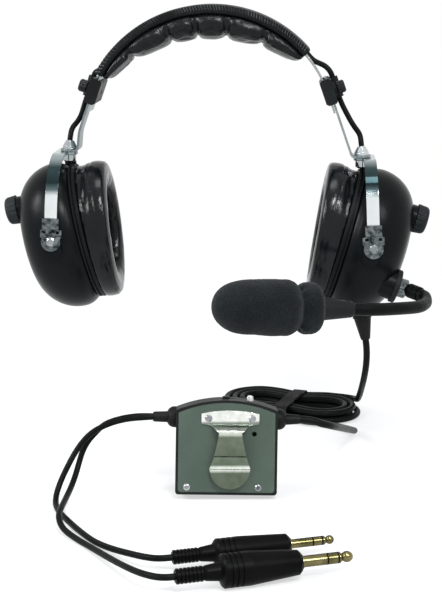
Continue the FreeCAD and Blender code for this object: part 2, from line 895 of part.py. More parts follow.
def make_baffle(name, side):
    """The ridged flange that closes the dome, with the grille in front of the speaker."""
    item = body(name + "_baffle", cup_place(side))
    rim = size("dome_rim")
    squash = size("cup_squash")
    ridges = [(1.2, 45.6), (1.1, 44.2), (2.0, 45.9)]
    top = rim
    for thick, half in ridges:
        pad(item, "YZ_Plane", [oval(half, half * squash)], thick, lift=top - thick)
        top -= thick
    pocket(item, "YZ_Plane", [oval(29.2, 29.2 * squash)], 2.4, lift=top + 2.0, back=False)
    hole = pocket(item, "YZ_Plane", [circle(0, 0, 1.6)], 20, lift=rim + 2, back=False)
    for reach, count in ((5.5, 6), (10.5, 12)):
        hole = pocket(item, "YZ_Plane", [circle(0, reach, 1.5)], 20, lift=rim + 2, back=False)
        ring_of(item, hole, "X_Axis", count)
    entry = lead_entry(side)
    way = [circle(entry.x, 0, size("short_lead") / 2 + 0.15)]
    pocket(item, "XY_Plane", way, 9, lift=entry.z - LEAD_DEPTH + 9)
    node(item)


SEAL_SLACK = 9.0


def make_seal(name, side):
    """A soft oval ring: drawn in at the baffle, bulging sides and a crowned face that leans less."""
    root = size("dome_rim") - size("baffle_thick")
    face = size("seal_face")
    neck = root + SEAL_SLACK
    steps = [
        (neck, 30.8),
        (neck, 44.2),
        (root, 44.2),
        ((root - 7.5, 46.5), (face + 3.2, 46.0)),
        ((face + 0.8, 44.8), (face, 42.2)),
        ((face - 0.7, 37.2), (face + 0.4, 32.4)),
        ((face + 2.0, 30.4), (face + 4.6, 29.8)),
        ((root - 6.0, 29.4), (root, 30.8)),
    ]
    tilt = FreeCAD.Matrix()
    tilt.A13 = -size("seal_wedge")
    leaning = revolved(steps).transformGeometry(tilt)
    beyond = Part.makeBox(3 * SEAL_SLACK, 120, 120, V(root, -60, -60))
    solid(name + "_ear_seal", leaning.cut(beyond), cup_place(side))


def make_foam_liner(name, side):
    item = body(name + "_foam_liner", cup_place(side))
    root = size("dome_rim") - size("baffle_thick")
    half = 28.2
    pad(item, "YZ_Plane", [oval(half, half * size("cup_squash"))], 3.4, lift=root - 1.4)
    node(item)


def make_speaker(name, side):
    rim = size("dome_rim")
    half = size("speaker_diameter") / 2
    node(
        turned(
            name + "_speaker",
            cup_place(side),
            (rim, 0),
            (rim, half),
            (rim + 2.0, half),
            (rim + 3.0, half - 1.2),
            (rim + 8.0, 12.5),
            (rim + 8.0, 11.0),
            (rim + 14.0, 11.0),
            (rim + 14.0, 0),
        )
    )


def knob_place(side):
    return cup_place(side).multiply(Place(V(0, 0, size("knob_high")), Turn()))


def make_volume_pot(name, side):
    bore = size("bush_bore") / 2
    node(
        turned(
            name + "_volume_pot",
            knob_place(side),
            (0, 0),
            (0, 8.0),
            (7.0, 8.0),
            (7.0, 3.5),
            (13.4, 3.5),
            (13.4, bore),
            (4.0, bore),
            (4.0, 0),
        )
    )


def make_knob(name, side):
    half = size("knob_diameter") / 2
    shaft = size("shaft_diameter") / 2
    foot, nose = size("knob_foot"), size("knob_nose")
    item = turned(
        name + "_volume_knob",
        knob_place(side),
        (4.6, 0),
        (4.6, shaft),
        (foot, shaft),
        (foot, half),
        (nose - 2.6, half - 0.5),
        ((nose - 0.8, half - 1.3), (nose, half - 3.0)),
        (nose, 4.6),
        (nose - 0.5, 4.0),
        (nose - 0.5, 0),
    )
    flute = pocket(item, "YZ_Plane", [circle(0, half + 0.75, 1.35)], 30, lift=40, back=False)
    ring_of(item, flute, "X_Axis", 16)
    pointer = rectangle(-0.6, half - 4.2, 0.6, half - 2.0)
    pocket(item, "YZ_Plane", pointer, 0.8, lift=nose, back=False)
    node(item)


def make_dome_lead(name, side):
    """The short lead from the stud into the top of the cup."""
    entry = lead_entry(side)
    inside = V(entry.x, 0, entry.z - LEAD_DEPTH)
    placed = [
        stud_place(side).multVec(V(0, 0, -3.6)),
        cup_place(side).multVec(entry),
        cup_place(side).multVec(inside),
    ]
    cord(name + "_dome_lead", [tuple(point) for point in placed], size("short_lead"))


# Boom and microphone

BOOM_ROUTE = [
    (134.6, -31.0, -33.0),
    (137.9, -45.5, -35.4),
    (132.6, -64.5, -34.2),
    (118.0, -82.0, -31.6),
    (102.9, -94.2, -29.8),
    (88.4, -99.5, -28.5),
]
BLOCK_CENTRE = V(124.6, -20.0, -31.0)
MIC_ROOT = V(88.4, -99.5, -28.5)
FOAM_ROOT = V(67.6, -107.2, -26.6)
FOAM_TIP = V(4.6, -130.4, -21.0)


def make_boom_mount():
    frame = hub_place()
    node(
        turned(
            "boom_mount",
            frame,
            (-1.0, 0),
            (-1.0, 11.2),
            (1.8, 11.2),
            (2.4, 10.6),
            (2.4, 2.05),
            (0.2, 2.05),
            (0.2, 0),
        )
    )


def make_boom_swivel():
    """A chrome block that turns on the mount, with the screw head that holds it."""
    blank = turned(
        "swivel_blank",
        hub_place(),
        (0.5, 0),
        (0.5, 2.0),
        (2.7, 2.0),
        (2.7, 6.4),
        (7.6, 6.4),
        (8.3, 5.7),
        (8.3, 3.0),
        (9.4, 2.4),
        (9.4, 0),
    )
    way = ferrule_way()
    bore = doc.addObject("Part::Cylinder", "ferrule_bore")
    bore.setExpression("Radius", "sizes.boom_diameter / 2")
    bore.Height = 30
    bore.Placement = Place(BLOCK_CENTRE, Turn(V(0, 0, 1), way))
    bored = doc.addObject("Part::Cut", "boom_swivel")
    bored.Label = "boom_swivel"
    bored.Base = blank
    bored.Tool = bore
    node(bored)


def ferrule_way():
    return (V(*BOOM_ROUTE[0]) - BLOCK_CENTRE).normalize()


def make_boom_tube():
    """The flexible boom, from a banded ferrule in the swivel to the microphone."""
    start = V(*BOOM_ROUTE[0])
    way = ferrule_way()
    inner = BLOCK_CENTRE + way * 0.2
    length = (start - inner).Length
    half = size("boom_diameter") / 2
    ferrule = Part.makeCylinder(half - 0.02, length, inner, way)
    sleeve = Part.makeCylinder(4.8, length - 6.0, inner + way * 6.0, way)
    shape = ferrule.fuse(sleeve)
    for along in (9.0, 12.2):
        ring = Part.makeTorus(4.9, 0.45, inner + way * along, way)
        shape = shape.cut(ring)
    straight = tuple(start + way * 5.0)
    edges, radii = rounded([BOOM_ROUTE[0], straight] + BOOM_ROUTE[1:])
    print("boom_tube: radii " + " ".join(f"{radius:.0f}" for radius in radii))
    wire = Part.Wire(edges)
    profile = Part.Wire([Part.Circle(start, way, half).toShape()])
    bent = wire.makePipeShell([profile], True, False)
    solid("boom_tube", shape.fuse(bent))


def make_mic_housing():
    """The tapered arm of the microphone, with a stem that carries the windscreen."""
    frame = aimed(MIC_ROOT, FOAM_ROOT - MIC_ROOT)
    reach = (FOAM_ROOT - MIC_ROOT).Length
    node(
        turned(
            "mic_housing",
            frame,
            (0, 0),
            (0, 4.6),
            (1.2, 5.2),
            (reach - 1.6, 7.4),
            (reach - 0.3, 7.0),
            (reach - 0.3, 5.95),
            (reach + 24.0, 5.95),
            (reach + 24.0, 0),
        )
    )


def make_mic_capsule():
    frame = aimed(MIC_ROOT, FOAM_ROOT - MIC_ROOT)
    reach = (FOAM_ROOT - MIC_ROOT).Length + 24.0
    node(
        turned(
            "mic_capsule",
            frame,
            (reach, 0),
            (reach, 6.2),
            (reach + 9.0, 6.2),
            (reach + 10.0, 5.2),
            (reach + 10.0, 0),
        )
    )


def make_windscreen():
    """Foam with a long rounded lobe and a short one, pinched between them."""
    frame = aimed(FOAM_ROOT, FOAM_TIP - FOAM_ROOT)
    length = (FOAM_TIP - FOAM_ROOT).Length
    half = size("foam_diameter") / 2
    item = turned(
        "windscreen",
        frame,
        (0, 6.0),
        (0, 11.5),
        ((2.0, 14.8), (6.6, 16.0)),
        ((11.2, 15.2), (13.8, 12.4)),
        ((17.6, 15.9), (24.0, half - 0.1)),
        ((34.0, half + 0.2), (44.5, half - 0.4)),
        ((length - 11.5, 13.0), (length - 3.7, 7.0)),
        ((length - 1.0, 3.9), (length, 1.0)),
        (length, 0),
        (36.5, 0),
        (36.5, 6.4),
        (23.0, 6.4),
        (23.0, 6.0),
    )
    node(item)


# Cord

STRAIN_TOP = V(98.6, 0, -53.0)
STRAIN_FOOT = V(101.5, 0, -71.0)
HANK_CENTRE = V(51.0, 80.0, 0)
HANK_TURN = 72.0

DOWN_LEAD = [
    (101.5, 0.0, -71.0),
    (102.6, 0.0, -78.0),
    (102.6, 5.5, -91.0),
    (101.8, 17.0, -103.2),
    (101.0, 32.0, -114.0),
    (100.4, 50.0, -124.5),
    (100.0, 68.0, -132.5),
]

MODULE_LEAD = [
    (70.4, -94.6, -103.0),
    (76.2, -88.5, -106.0),
    (79.6, -78.5, -109.7),
    (82.2, -65.0, -114.2),
    (84.8, -50.0, -119.1),
    (87.4, -33.0, -124.8),
    (90.3, -15.0, -130.7),
    (93.6, 2.0, -136.4),
    (96.4, 17.0, -141.4),
    (94.6, 28.5, -144.3),
]

TWIN_OUT = [
    (-40.4, -103.2, -97.6),
    (-48.6, -103.8, -98.2),
    (-57.0, -104.6, -99.9),
    (-65.0, -105.6, -102.8),
]

MIC_CORD = [
    (-71.7, -108.6, -106.5),
    (-76.9, -110.5, -111.4),
    (-81.1, -112.8, -117.1),
    (-84.7, -115.4, -123.3),
    (-88.1, -118.8, -130.1),
    (-90.8, -123.0, -136.5),
    (-92.2, -128.5, -142.2),
    (-90.6, -138.0, -145.1),
    (-85.0, -151.5, -145.1),
    (-77.5, -165.3, -145.1),
    (-68.4, -181.1, -145.1),
    (-58.7, -196.0, -144.8),
    (-47.5, -209.5, -143.2),
    (-36.0, -221.0, -141.2),
    (-26.5, -229.0, -139.9),
]

PHONES_CORD = [
    (-70.8, -104.2, -108.7),
    (-75.2, -105.8, -113.6),
    (-78.3, -107.9, -119.6),
    (-80.1, -111.0, -126.2),
    (-81.5, -116.0, -132.1),
    (-83.0, -124.8, -136.9),
    (-84.0, -140.0, -138.8),
    (-84.0, -155.0, -138.4),
    (-84.4, -168.0, -139.4),
    (-80.4, -178.8, -143.4),
    (-69.8, -191.3, -145.1),
    (-58.4, -206.6, -144.3),
    (-46.0, -226.5, -142.3),
    (-34.5, -244.5, -139.9),
    (-25.0, -256.5, -138.3),
]

def hank_place(along, across, high):
    """From the hank's own directions, along its runs and to its east side, to the row's."""
    turn = math.radians(HANK_TURN)
    axis = V(-math.sin(turn), math.cos(turn), 0)
    east = V(math.cos(turn), math.sin(turn), 0)
    return HANK_CENTRE + axis * along + east * across + V(0, 0, high)


def low_layer():
    return size("table") + size("tie_thick") + size("lead_diameter") / 2


def bend_between(start, end, heading):
    """Two equal arcs from one point to another, both ends along the same heading."""
    edges = []
    middle = (start + end) * 0.5
    span = (middle - start).dot(heading)
    side = (middle - start) - heading * span
    drop = side.Length
    radius = (span**2 + drop**2) / (2 * drop)
    half = math.atan2(drop, span)
    side = V(side).normalize()
    first = start + heading * (radius * math.sin(half)) + side * (radius * (1 - math.cos(half)))
    last = end - (first - start)
    edges.append(Part.Arc(start, first, middle).toShape())
    edges.append(Part.Arc(middle, last, end).toShape())
    return edges


def hank_levels():
    """The runs from the outside of the upper layer in, down, and out again on the lower one."""
    inner, pitch = size("hank_inner"), size("hank_pitch")
    outward = [inner + pitch / 2 * step for step in range(7)]
    upper = outward[5::-1]
    lower = outward[1:]
    return upper, lower


def hank_ends():
    """The start on the upper layer and the end on the lower one, with the way out of each."""
    upper, lower = hank_levels()
    half = size("hank_run") / 2
    out = hank_place(-1, 0, 0) - hank_place(0, 0, 0)
    high = low_layer() + size("hank_layer")
    return hank_place(-half, upper[0], high), hank_place(-half, -lower[-1], low_layer()), out


def make_hank():
    upper, lower = hank_levels()
    half = size("hank_run") / 2
    waist = size("hank_waist")
    low = low_layer()
    high = low + size("hank_layer")
    levels = [(level, high) for level in upper] + [(level, low) for level in lower]
    edges = []
    east = 1
    for number, (level, height) in enumerate(levels):
        way = east
        drop = levels[number + 1][1] if number + 1 < len(levels) else height
        climbs = drop != height
        start = hank_place(-half * way, level * east, height)
        end = hank_place(half * way, level * east, drop)
        middle = hank_place(0, (level - waist) * east, (height + drop) / 2)
        heading = hank_place(way, 0, 0) - hank_place(0, 0, 0)
        edges += bend_between(start, middle, heading)
        edges += bend_between(middle, end, heading)
        if number + 1 < len(levels):
            following = hank_place(half * way, -levels[number + 1][0] * east, drop)
            radius = (end - following).Length / 2
            apex = (end + following) * 0.5 + heading * radius
            edges.append(Part.Arc(end, apex, following).toShape())
        east = -east
    print_least_gap(edges)
    tube("cord_hank", edges, size("lead_diameter"))


def print_least_gap(edges):
    """The least distance between two stretches of the hank that aren't neighbours."""
    points = []
    along = []
    travelled = 0.0
    for edge in edges:
        count = max(4, int(edge.Length / 2))
        for step in range(count):
            share = step / count
            span = edge.LastParameter - edge.FirstParameter
            points.append(edge.valueAt(edge.FirstParameter + span * share))
            along.append(travelled + edge.Length * share)
        travelled += edge.Length
    least = 1e9
    apart = 8 * size("lead_diameter")
    for i, point in enumerate(points):
        for j in range(i + 1, len(points)):
            if along[j] - along[i] > apart:
                least = min(least, (points[j] - point).Length)
    print(f"cord_hank: least gap to itself {least - size('lead_diameter'):.2f} mm")


def make_tie():
    """A flat strap round the waist of the hank."""
    upper, lower = hank_levels()
    cord_half = size("lead_diameter") / 2
    waist = size("hank_waist")
    east = upper[0] - waist + cord_half + 0.3
    west = lower[-1] - waist + cord_half + 0.3
    floor = size("table")
    thick = size("tie_thick")
    top = low_layer() + size("hank_layer") + cord_half + 0.2
    item = body("hank_tie", Place(HANK_CENTRE, Turn(V(0, 0, 1), HANK_TURN)))
    outer = rectangle(-west - thick, floor, east + thick, top + thick)
    pad(item, "XZ_Plane", outer, 8, symmetric=True)
    pocket(
        item,
        "XZ_Plane",
        rectangle(-west, floor + thick, east, top),
        20,
        symmetric=True,
    )
    node(item)


def make_strain_relief():
    """A tapered boot with grip rings, from a flange on the cup."""
    frame = aimed(STRAIN_TOP, STRAIN_FOOT - STRAIN_TOP)
    reach = (STRAIN_FOOT - STRAIN_TOP).Length
    item = turned(
        "strain_relief",
        frame,
        (-2.0, 0),
        (-2.0, 6.6),
        (2.6, 6.6),
        (3.2, 5.9),
        (reach - 1.0, 3.4),
        (reach, 3.0),
        (reach, 0),
    )
    node(item)


def make_down_lead():
    start, end, out = hank_ends()
    near = start + out * 11.0
    turn = Turn(V(0, 0, 1), -35).multVec(out)
    corner = near + turn * 11.0 + V(0, 0, 1.1)
    points = DOWN_LEAD + [tuple(corner), tuple(near), tuple(start)]
    cord("down_lead", points, size("lead_diameter"))


def module_place():
    """The module stands on its lower back corner, leaning back and a little to the left."""
    lean, roll, yaw = 9.0, 1.0, 4.0
    turn = Turn(V(0, 0, 1), yaw).multiply(Turn(V(0, 1, 0), roll)).multiply(Turn(V(1, 0, 0), -lean))
    corner = turn.multVec(V(size("module_width") / 2, size("module_thick"), 0))
    return Place(V(11.9, -116.5, size("table") - corner.z), turn)


def gland_at(side, out):
    """On a gland's axis, a distance out from the side of the module."""
    high = size("gland_high") - (0.8 if side == LEFT else 0)
    reach = size("module_width") / 2 + out
    return module_place().multVec(V(side * reach, size("module_thick") / 2, high))


def make_module_lead():
    start, end, out = hank_ends()
    near = end + out * 12.0
    first = [tuple(gland_at(LEFT, GLAND_REACH)), tuple(gland_at(LEFT, GLAND_REACH + 6.5))]
    points = first + MODULE_LEAD + [tuple(near), tuple(end)]
    cord("module_lead", points, size("lead_diameter"))


def make_plug_cords():
    """Two cords side by side from the gland, which part and run to their plugs on the table."""
    for label, route, back, plug in (
        ("mic_cord", MIC_CORD, -1, MIC_PLUG),
        ("phones_cord", PHONES_CORD, 1, PHONES_PLUG),
    ):
        apart = back * (size("twin_diameter") / 2 + 0.25)
        across = module_place().Rotation.multVec(V(0, apart, 0))
        start = gland_at(RIGHT, GLAND_REACH) + across
        paired = [(x, y + apart, z) for x, y, z in TWIN_OUT]
        near = plug["start"] - (plug["end"] - plug["start"]).normalize() * 7.0
        points = [tuple(start)] + paired + route + [tuple(near), tuple(plug["start"])]
        cord(label, points, size("twin_diameter"))


# Cord module, in its own frame: x to the right, y from the clip side inwards, z up


def module_outline(inset):
    half = size("module_width") / 2 - inset
    high = size("module_high") - inset
    shoulder = size("module_shoulder") - inset
    foot = inset
    corner = 2.0
    turn = corner * (1 - math.sqrt(0.5))
    return curves(
        (-half + corner, foot),
        (half - corner, foot),
        ((half - turn, foot + turn), (half, foot + corner)),
        (half, shoulder),
        ((0, high), (-half, shoulder)),
        (-half, foot + corner),
        ((-half + turn, foot + turn), (-half + corner, foot)),
    )


GLAND_REACH = 14.3
SWITCH_AT = 1.0
LAMP_AT = 14.4
COVER_SCREWS = (-24.4, 19.8)
CLIP_RIVETS = (-11.4, 15.6)
CLIP_MIDDLE = 2.1


def make_module_shell():
    item = body("module_shell", module_place())
    feature = pad(item, "XZ_Plane", module_outline(0), "sizes.module_thick", back=True)
    doc.recompute()
    far = size("module_thick")
    rims = []
    for number, edge in enumerate(feature.Shape.Edges, start=1):
        ends = [abs(vertex.Point.y - far) < 0.01 for vertex in edge.Vertexes]
        if all(ends):
            rims.append(f"Edge{number}")
    bevel = item.newObject("PartDesign::Chamfer", "module_back_rim")
    bevel.Base = (feature, rims)
    bevel.Size = 1.1
    item.Tip = bevel
    pocket(item, "XZ_Plane", module_outline(1.5), 1.8)
    pocket(item, "XZ_Plane", module_outline(3.0), 18.0)
    middle = size("module_thick") / 2
    slot = rectangle(SWITCH_AT - 4.2, middle - 1.4, SWITCH_AT + 4.2, middle + 1.4)
    pocket(item, "XY_Plane", slot, 8, lift=size("module_high") + 2, back=False)
    lamp = [circle(LAMP_AT, middle, 1.65)]
    pocket(item, "XY_Plane", lamp, 8, lift=size("module_high") + 2, back=False)
    node(item)


def make_module_cover():
    item = body("module_cover", module_place())
    pad(item, "XZ_Plane", module_outline(1.6), 2.0, lift=0.2, back=True)
    holes = [circle(x, 4.7, 1.2) for x in COVER_SCREWS] + [circle(17.0, 38.1, 1.5)]
    holes += [circle(x, 47.7, 1.2) for x in CLIP_RIVETS]
    pocket(item, "XZ_Plane", holes, 10, symmetric=True)
    node(item)


def make_belt_clip():
    """One piece of sheet steel: a plate on the cover and a sprung tongue that narrows and flares."""
    item = body("belt_clip", module_place())
    face = -0.2 - 0.5
    out = -size("clip_standoff") - 0.2 - 0.5
    side_view = [
        (face, 53.0),
        (face, 43.4),
        (out, 40.6),
        (out, 24.0),
        (-2.6, 17.1),
        (-4.4, 4.4),
    ]
    drawn = strip(side_view, [1.2, 1.2, 6.0, 4.0], 1.0)
    pad(item, "YZ_Plane", drawn, 40, lift=CLIP_MIDDLE - 20)
    mid = CLIP_MIDDLE
    front_view = curves(
        (mid - 17.8, 44.2),
        (mid - 11.6, 43.4),
        (mid - 7.0, 39.4),
        ((mid - 8.8, 30.0), (mid - 12.5, 17.1)),
        ((mid, 4.4), (mid + 12.5, 17.1)),
        ((mid + 8.8, 30.0), (mid + 7.0, 39.4)),
        (mid + 11.6, 43.4),
        (mid + 17.8, 44.2),
        (mid + 17.8, 50.6),
        ((mid, 52.6), (mid - 17.8, 50.6)),
    )
    frame = rectangle(mid - 30, -10, mid + 30, 70)
    pocket(item, "XZ_Plane", front_view + frame, 60, symmetric=True)
    rivet_holes = [circle(x, 47.7, 1.25) for x in CLIP_RIVETS]
    pocket(item, "XZ_Plane", rivet_holes, 10, symmetric=True)
    node(item)


def make_module_screws():
    """Two cover screws and the two rivets of the clip."""
    frame = module_place()
    pieces = []
    spots = [(x, 4.7, 0.2, 2.1) for x in COVER_SCREWS] + [(x, 47.7, 1.2, 2.3) for x in CLIP_RIVETS]
    for number, (x, z, face, head) in enumerate(spots, start=1):
        spot = frame.multiply(Place(V(x, 0, z), Turn(V(0, 0, 1), -90)))
        item = turned(
            f"module_screw_{number}",
            spot,
            (-1.8, 0),
            (-1.8, 1.2),
            (face, 1.2),
            (face, head),
            (face + 0.3, head),
            (face + 0.8, head - 0.8),
            (face + 0.8, 0),
        )
        pieces.append(item)
    group("module_screws", pieces)


def make_glands():
    pieces = []
    for name, side in SIDES.items():
        turn = module_place().Rotation.multiply(side_turn(side))
        item = turned(
            f"{name}_gland",
            Place(gland_at(side, 0), turn),
            (0, 0),
            (0, 6.6),
            (1.4, 6.6),
            ((4.4, 5.2), (5.5, 3.5)),
            (12.8, 3.2) if side == RIGHT else (12.8, 2.9),
            (GLAND_REACH, 3.0) if side == RIGHT else (GLAND_REACH, 2.7),
            (GLAND_REACH, 0),
        )
        pieces.append(item)
    group("module_glands", pieces)


def make_circuit_board():
    """The board with its parts, and the lamp that stands out of the top."""
    item = body("circuit_board", module_place())
    pad(item, "XZ_Plane", rectangle(-26, 27, 26, 47), 1.6, lift=-14.6, back=True)
    chips = rectangle(-20, 31, -10, 41) + rectangle(-4, 32, 4, 44) + rectangle(8, 30, 22, 38)
    pad(item, "XZ_Plane", chips, 3.0, lift=-11.8, back=True)
    middle = size("module_thick") / 2
    bracket = rectangle(LAMP_AT - 1.5, 42, LAMP_AT + 1.5, 47)
    pad(item, "XZ_Plane", bracket, 6.2, lift=-8.6, back=True)
    pad(item, "XY_Plane", [circle(LAMP_AT, middle, 1.5)], 18.6, lift=42)
    node(item)


def make_batteries():
    frame = module_place()
    cells = []
    for number, high in enumerate((9.2, 20.4), start=1):
        spot = frame.multiply(Place(V(-22.2, size("module_thick") / 2 + 0.5, high), Turn()))
        cells.append(
            turned(
                f"battery_{number}",
                spot,
                (0, 0),
                (0, 5.2),
                (43.4, 5.2),
                (43.4, 1.9),
                (44.4, 1.9),
                (44.4, 0),
            )
        )
    group("batteries", cells)


def make_power_switch():
    item = body("power_switch", module_place())
    middle = size("module_thick") / 2
    low = SWITCH_AT - 1.5
    top = size("module_high")
    stem = rectangle(low - 1.3, middle - 1.1, low + 1.3, middle + 1.1)
    pad(item, "XY_Plane", stem, 6.0, lift=top - 5.6)
    cap = rectangle(low - 2.2, middle - 1.5, low + 2.2, middle + 1.5)
    pad(item, "XY_Plane", cap, 1.2, lift=top + 0.3)
    node(item)


# Plugs, on their own X axis from the boot to the tip


def plug_on_table(start, end, start_high, end_high):
    start = V(start[0], start[1], size("table") + start_high)
    end = V(end[0], end[1], size("table") + end_high)
    return {"start": start, "end": end}


fill_sheet()
PHONES_PLUG = plug_on_table((-7.7, -260.8), (85.0, -227.2), 9.4, 9.4)
MIC_PLUG = plug_on_table((-11.7, -230.0), (76.3, -198.1), 7.7, 7.7)


def ribs(start, end, count, low, high):
    """Square grip ribs along a boot, as steps of an outline."""
    pitch = (end - start) / count
    steps = []
    for number in range(count):
        at = start + number * pitch
        steps += [(at, low), (at, high), (at + 0.55 * pitch, high), (at + 0.55 * pitch, low)]
    return steps


def make_plug(label, plug, boot, bulge, front, shank, lengths):
    """The moulded body with its ribbed boot, and the three contacts with their insulating rings."""
    frame = aimed(plug["start"], plug["end"] - plug["start"])
    boot_end, bulge_end, body_end, sleeve, ring, tip = lengths
    core = 1.4
    gap = 0.9
    half = shank / 2
    neck = ring + gap + 2.4
    grooves = []
    for number in range(3):
        at = boot_end + 3.2 + number * 3.0
        grooves += [(at, bulge), (at, bulge - 0.7), (at + 1.1, bulge - 0.7), (at + 1.1, bulge)]
    item = turned(
        label + "_plug_body",
        frame,
        (0, 0),
        (0, boot - 0.75),
        *ribs(0.6, boot_end * 0.62, 7, boot - 0.75, boot),
        (boot_end * 0.66, boot),
        (boot_end - 1.2, boot + 0.9),
        (boot_end, bulge - 1.0),
        (boot_end + 1.0, bulge),
        *grooves,
        (bulge_end, bulge),
        (body_end - 1.6, front),
        (body_end, front - 1.6),
        (body_end, core),
        (sleeve, core),
        (sleeve, half),
        (sleeve + gap, half),
        (sleeve + gap, core),
        (ring, core),
        (ring, half),
        (ring + gap, half),
        (ring + gap, core),
        (tip - 3.2, core),
        (tip - 3.2, 0),
    )
    node(item)
    pieces = [
        turned(
            label + "_sleeve",
            frame,
            (body_end, core),
            (body_end, half + 0.9),
            (body_end + 0.9, half + 0.9),
            (body_end + 0.9, half),
            (sleeve, half),
            (sleeve, core),
        ),
        turned(
            label + "_ring",
            frame,
            (sleeve + gap, core),
            (sleeve + gap, half),
            (ring, half),
            (ring, core),
        ),
        turned(
            label + "_tip",
            frame,
            (ring + gap, core),
            (ring + gap, half),
            (ring + gap + 0.8, half),
            (neck, half * 0.62),
            ((neck + 0.43 * (tip - neck), half * 0.97), (tip, 0.5)),
            (tip, 0),
            (tip - 3.1, 0),
            (tip - 3.1, core),
        ),
    ]
    group(label + "_plug_contacts", pieces)


def make_plugs():
    phones = (25.3, 40.8, 69.8, 84.2, 90.4, 99.9)
    mic = (24.2, 38.2, 67.2, 80.4, 86.0, 93.8)
    make_plug("phones", PHONES_PLUG, 4.2, 9.3, 6.8, size("phones_shank"), phones)
    make_plug("mic", MIC_PLUG, 4.0, 7.6, 6.1, size("mic_shank"), mic)


def make_everything():
    make_spring()
    make_pad_cover()
    make_cushion()
    make_brackets()
    make_clamp_screws()
    make_crossover()
    for name, side in SIDES.items():
        make_arm(name, side)
        make_arm_cable(name, side)
        make_stud(name, side)
        make_stirrup(name, side)
        make_pivot_clips(name, side)
        make_pivot_screws(name, side)
        make_dome(name, side)
        make_baffle(name, side)
        make_seal(name, side)
        make_foam_liner(name, side)
        make_speaker(name, side)
        make_volume_pot(name, side)
        make_knob(name, side)
        make_dome_lead(name, side)
    make_boom_mount()
    make_boom_swivel()
    make_boom_tube()
    make_mic_housing()
    make_mic_capsule()
    make_windscreen()
    make_strain_relief()
    make_down_lead()
    make_hank()
    make_tie()
    make_module_lead()
    make_plug_cords()
    make_module_shell()
    make_module_cover()
    make_belt_clip()
    make_module_screws()
    make_glands()
    make_circuit_board()
    make_batteries()
    make_power_switch()
    make_plugs()


def check():
    doc.recompute()
    for item in doc.Objects:
        if "Invalid" in item.State or "Error" in item.State:
            raise RuntimeError(f"{item.Label} failed: {item.State}")
    for label, item in nodes.items():
        if item.Shape.isNull() or not item.Shape.isValid():
            raise RuntimeError(f"{label} has no valid shape")
    print(f"{len(nodes)} nodes")


def write():
    os.makedirs("parts", exist_ok=True)
    for label, item in nodes.items():
        item.Shape.exportStep(f"parts/{label}.step")


make_everything()
check()
write()
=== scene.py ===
import math

import bmesh
import bpy
from mathutils import Matrix, Vector, noise


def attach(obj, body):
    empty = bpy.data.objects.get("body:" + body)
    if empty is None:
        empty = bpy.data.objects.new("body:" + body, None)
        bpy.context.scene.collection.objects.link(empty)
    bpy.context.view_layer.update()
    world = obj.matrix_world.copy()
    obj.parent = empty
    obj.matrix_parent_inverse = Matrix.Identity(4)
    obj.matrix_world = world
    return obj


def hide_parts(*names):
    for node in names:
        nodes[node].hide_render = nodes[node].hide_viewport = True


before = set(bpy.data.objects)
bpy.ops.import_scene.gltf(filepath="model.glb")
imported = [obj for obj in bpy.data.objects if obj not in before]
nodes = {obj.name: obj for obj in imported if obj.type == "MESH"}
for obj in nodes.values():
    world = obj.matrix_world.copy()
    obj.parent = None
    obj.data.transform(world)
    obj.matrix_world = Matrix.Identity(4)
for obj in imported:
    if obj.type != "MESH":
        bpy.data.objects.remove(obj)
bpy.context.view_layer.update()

scene = bpy.context.scene


# small helpers used all over
def deselectAll():
    if bpy.context.mode != "OBJECT":
        bpy.ops.object.mode_set(mode="OBJECT")
    bpy.ops.object.select_all(action="DESELECT")


def pick(obj):
    deselectAll()
    obj.select_set(True)
    bpy.context.view_layer.objects.active = obj


def named(name):
    obj = bpy.context.object
    obj.name = obj.data.name = name
    return obj


def settle(obj):
    pick(obj)
    bpy.ops.object.transform_apply(location=True, rotation=True, scale=True)


def modify(obj, kind, **settings):
    pick(obj)
    step = obj.modifiers.new(kind.title(), kind)
    for key, value in settings.items():
        setattr(step, key, value)
    bpy.ops.object.modifier_apply(modifier=step.name)


def joined(name, parts):
    deselectAll()
    for part in parts:
        part.select_set(True)
    bpy.context.view_layer.objects.active = parts[0]
    bpy.ops.object.join()
    return named(name)


def facing(obj, test):
    # select the faces that pass the test, in edit mode with nothing else selected
    pick(obj)
    bpy.ops.object.mode_set(mode="EDIT")
    bpy.ops.mesh.select_mode(type="FACE")
    bpy.ops.mesh.select_all(action="DESELECT")
    mesh = bmesh.from_edit_mesh(obj.data)
    for face in mesh.faces:
        face.select_set(test(face.calc_center_median(), face.normal))
    bmesh.update_edit_mesh(obj.data)


def editDone():
    bpy.ops.object.mode_set(mode="OBJECT")


def editAll(obj):
    pick(obj)
    bpy.ops.object.mode_set(mode="EDIT")
    bpy.ops.mesh.select_all(action="SELECT")


def cleanUp(obj, apart=1e-6):
    editAll(obj)
    bpy.ops.mesh.remove_doubles(threshold=apart)
    bpy.ops.mesh.normals_make_consistent(inside=False)
    editDone()


def smooth(obj, degrees=40):
    pick(obj)
    bpy.ops.object.shade_smooth_by_angle(angle=math.radians(degrees))


def portion(value, start, stop=1.0):
    # how far the value has come from start to stop, between 0 and 1
    return min(1.0, max(0.0, (value - start) / (stop - start)))


def softCopy(node, name, voxel):
    # a merged, even-faced copy of a CAD solid, ready to be puffed up
    obj = bpy.data.objects.new(name, nodes[node].data.copy())
    scene.collection.objects.link(obj)
    obj.data.materials.clear()
    cleanUp(obj, 1e-5)
    obj.data.remesh_voxel_size = voxel
    pick(obj)
    bpy.ops.object.voxel_remesh()
    obj.data.name = name
    return obj


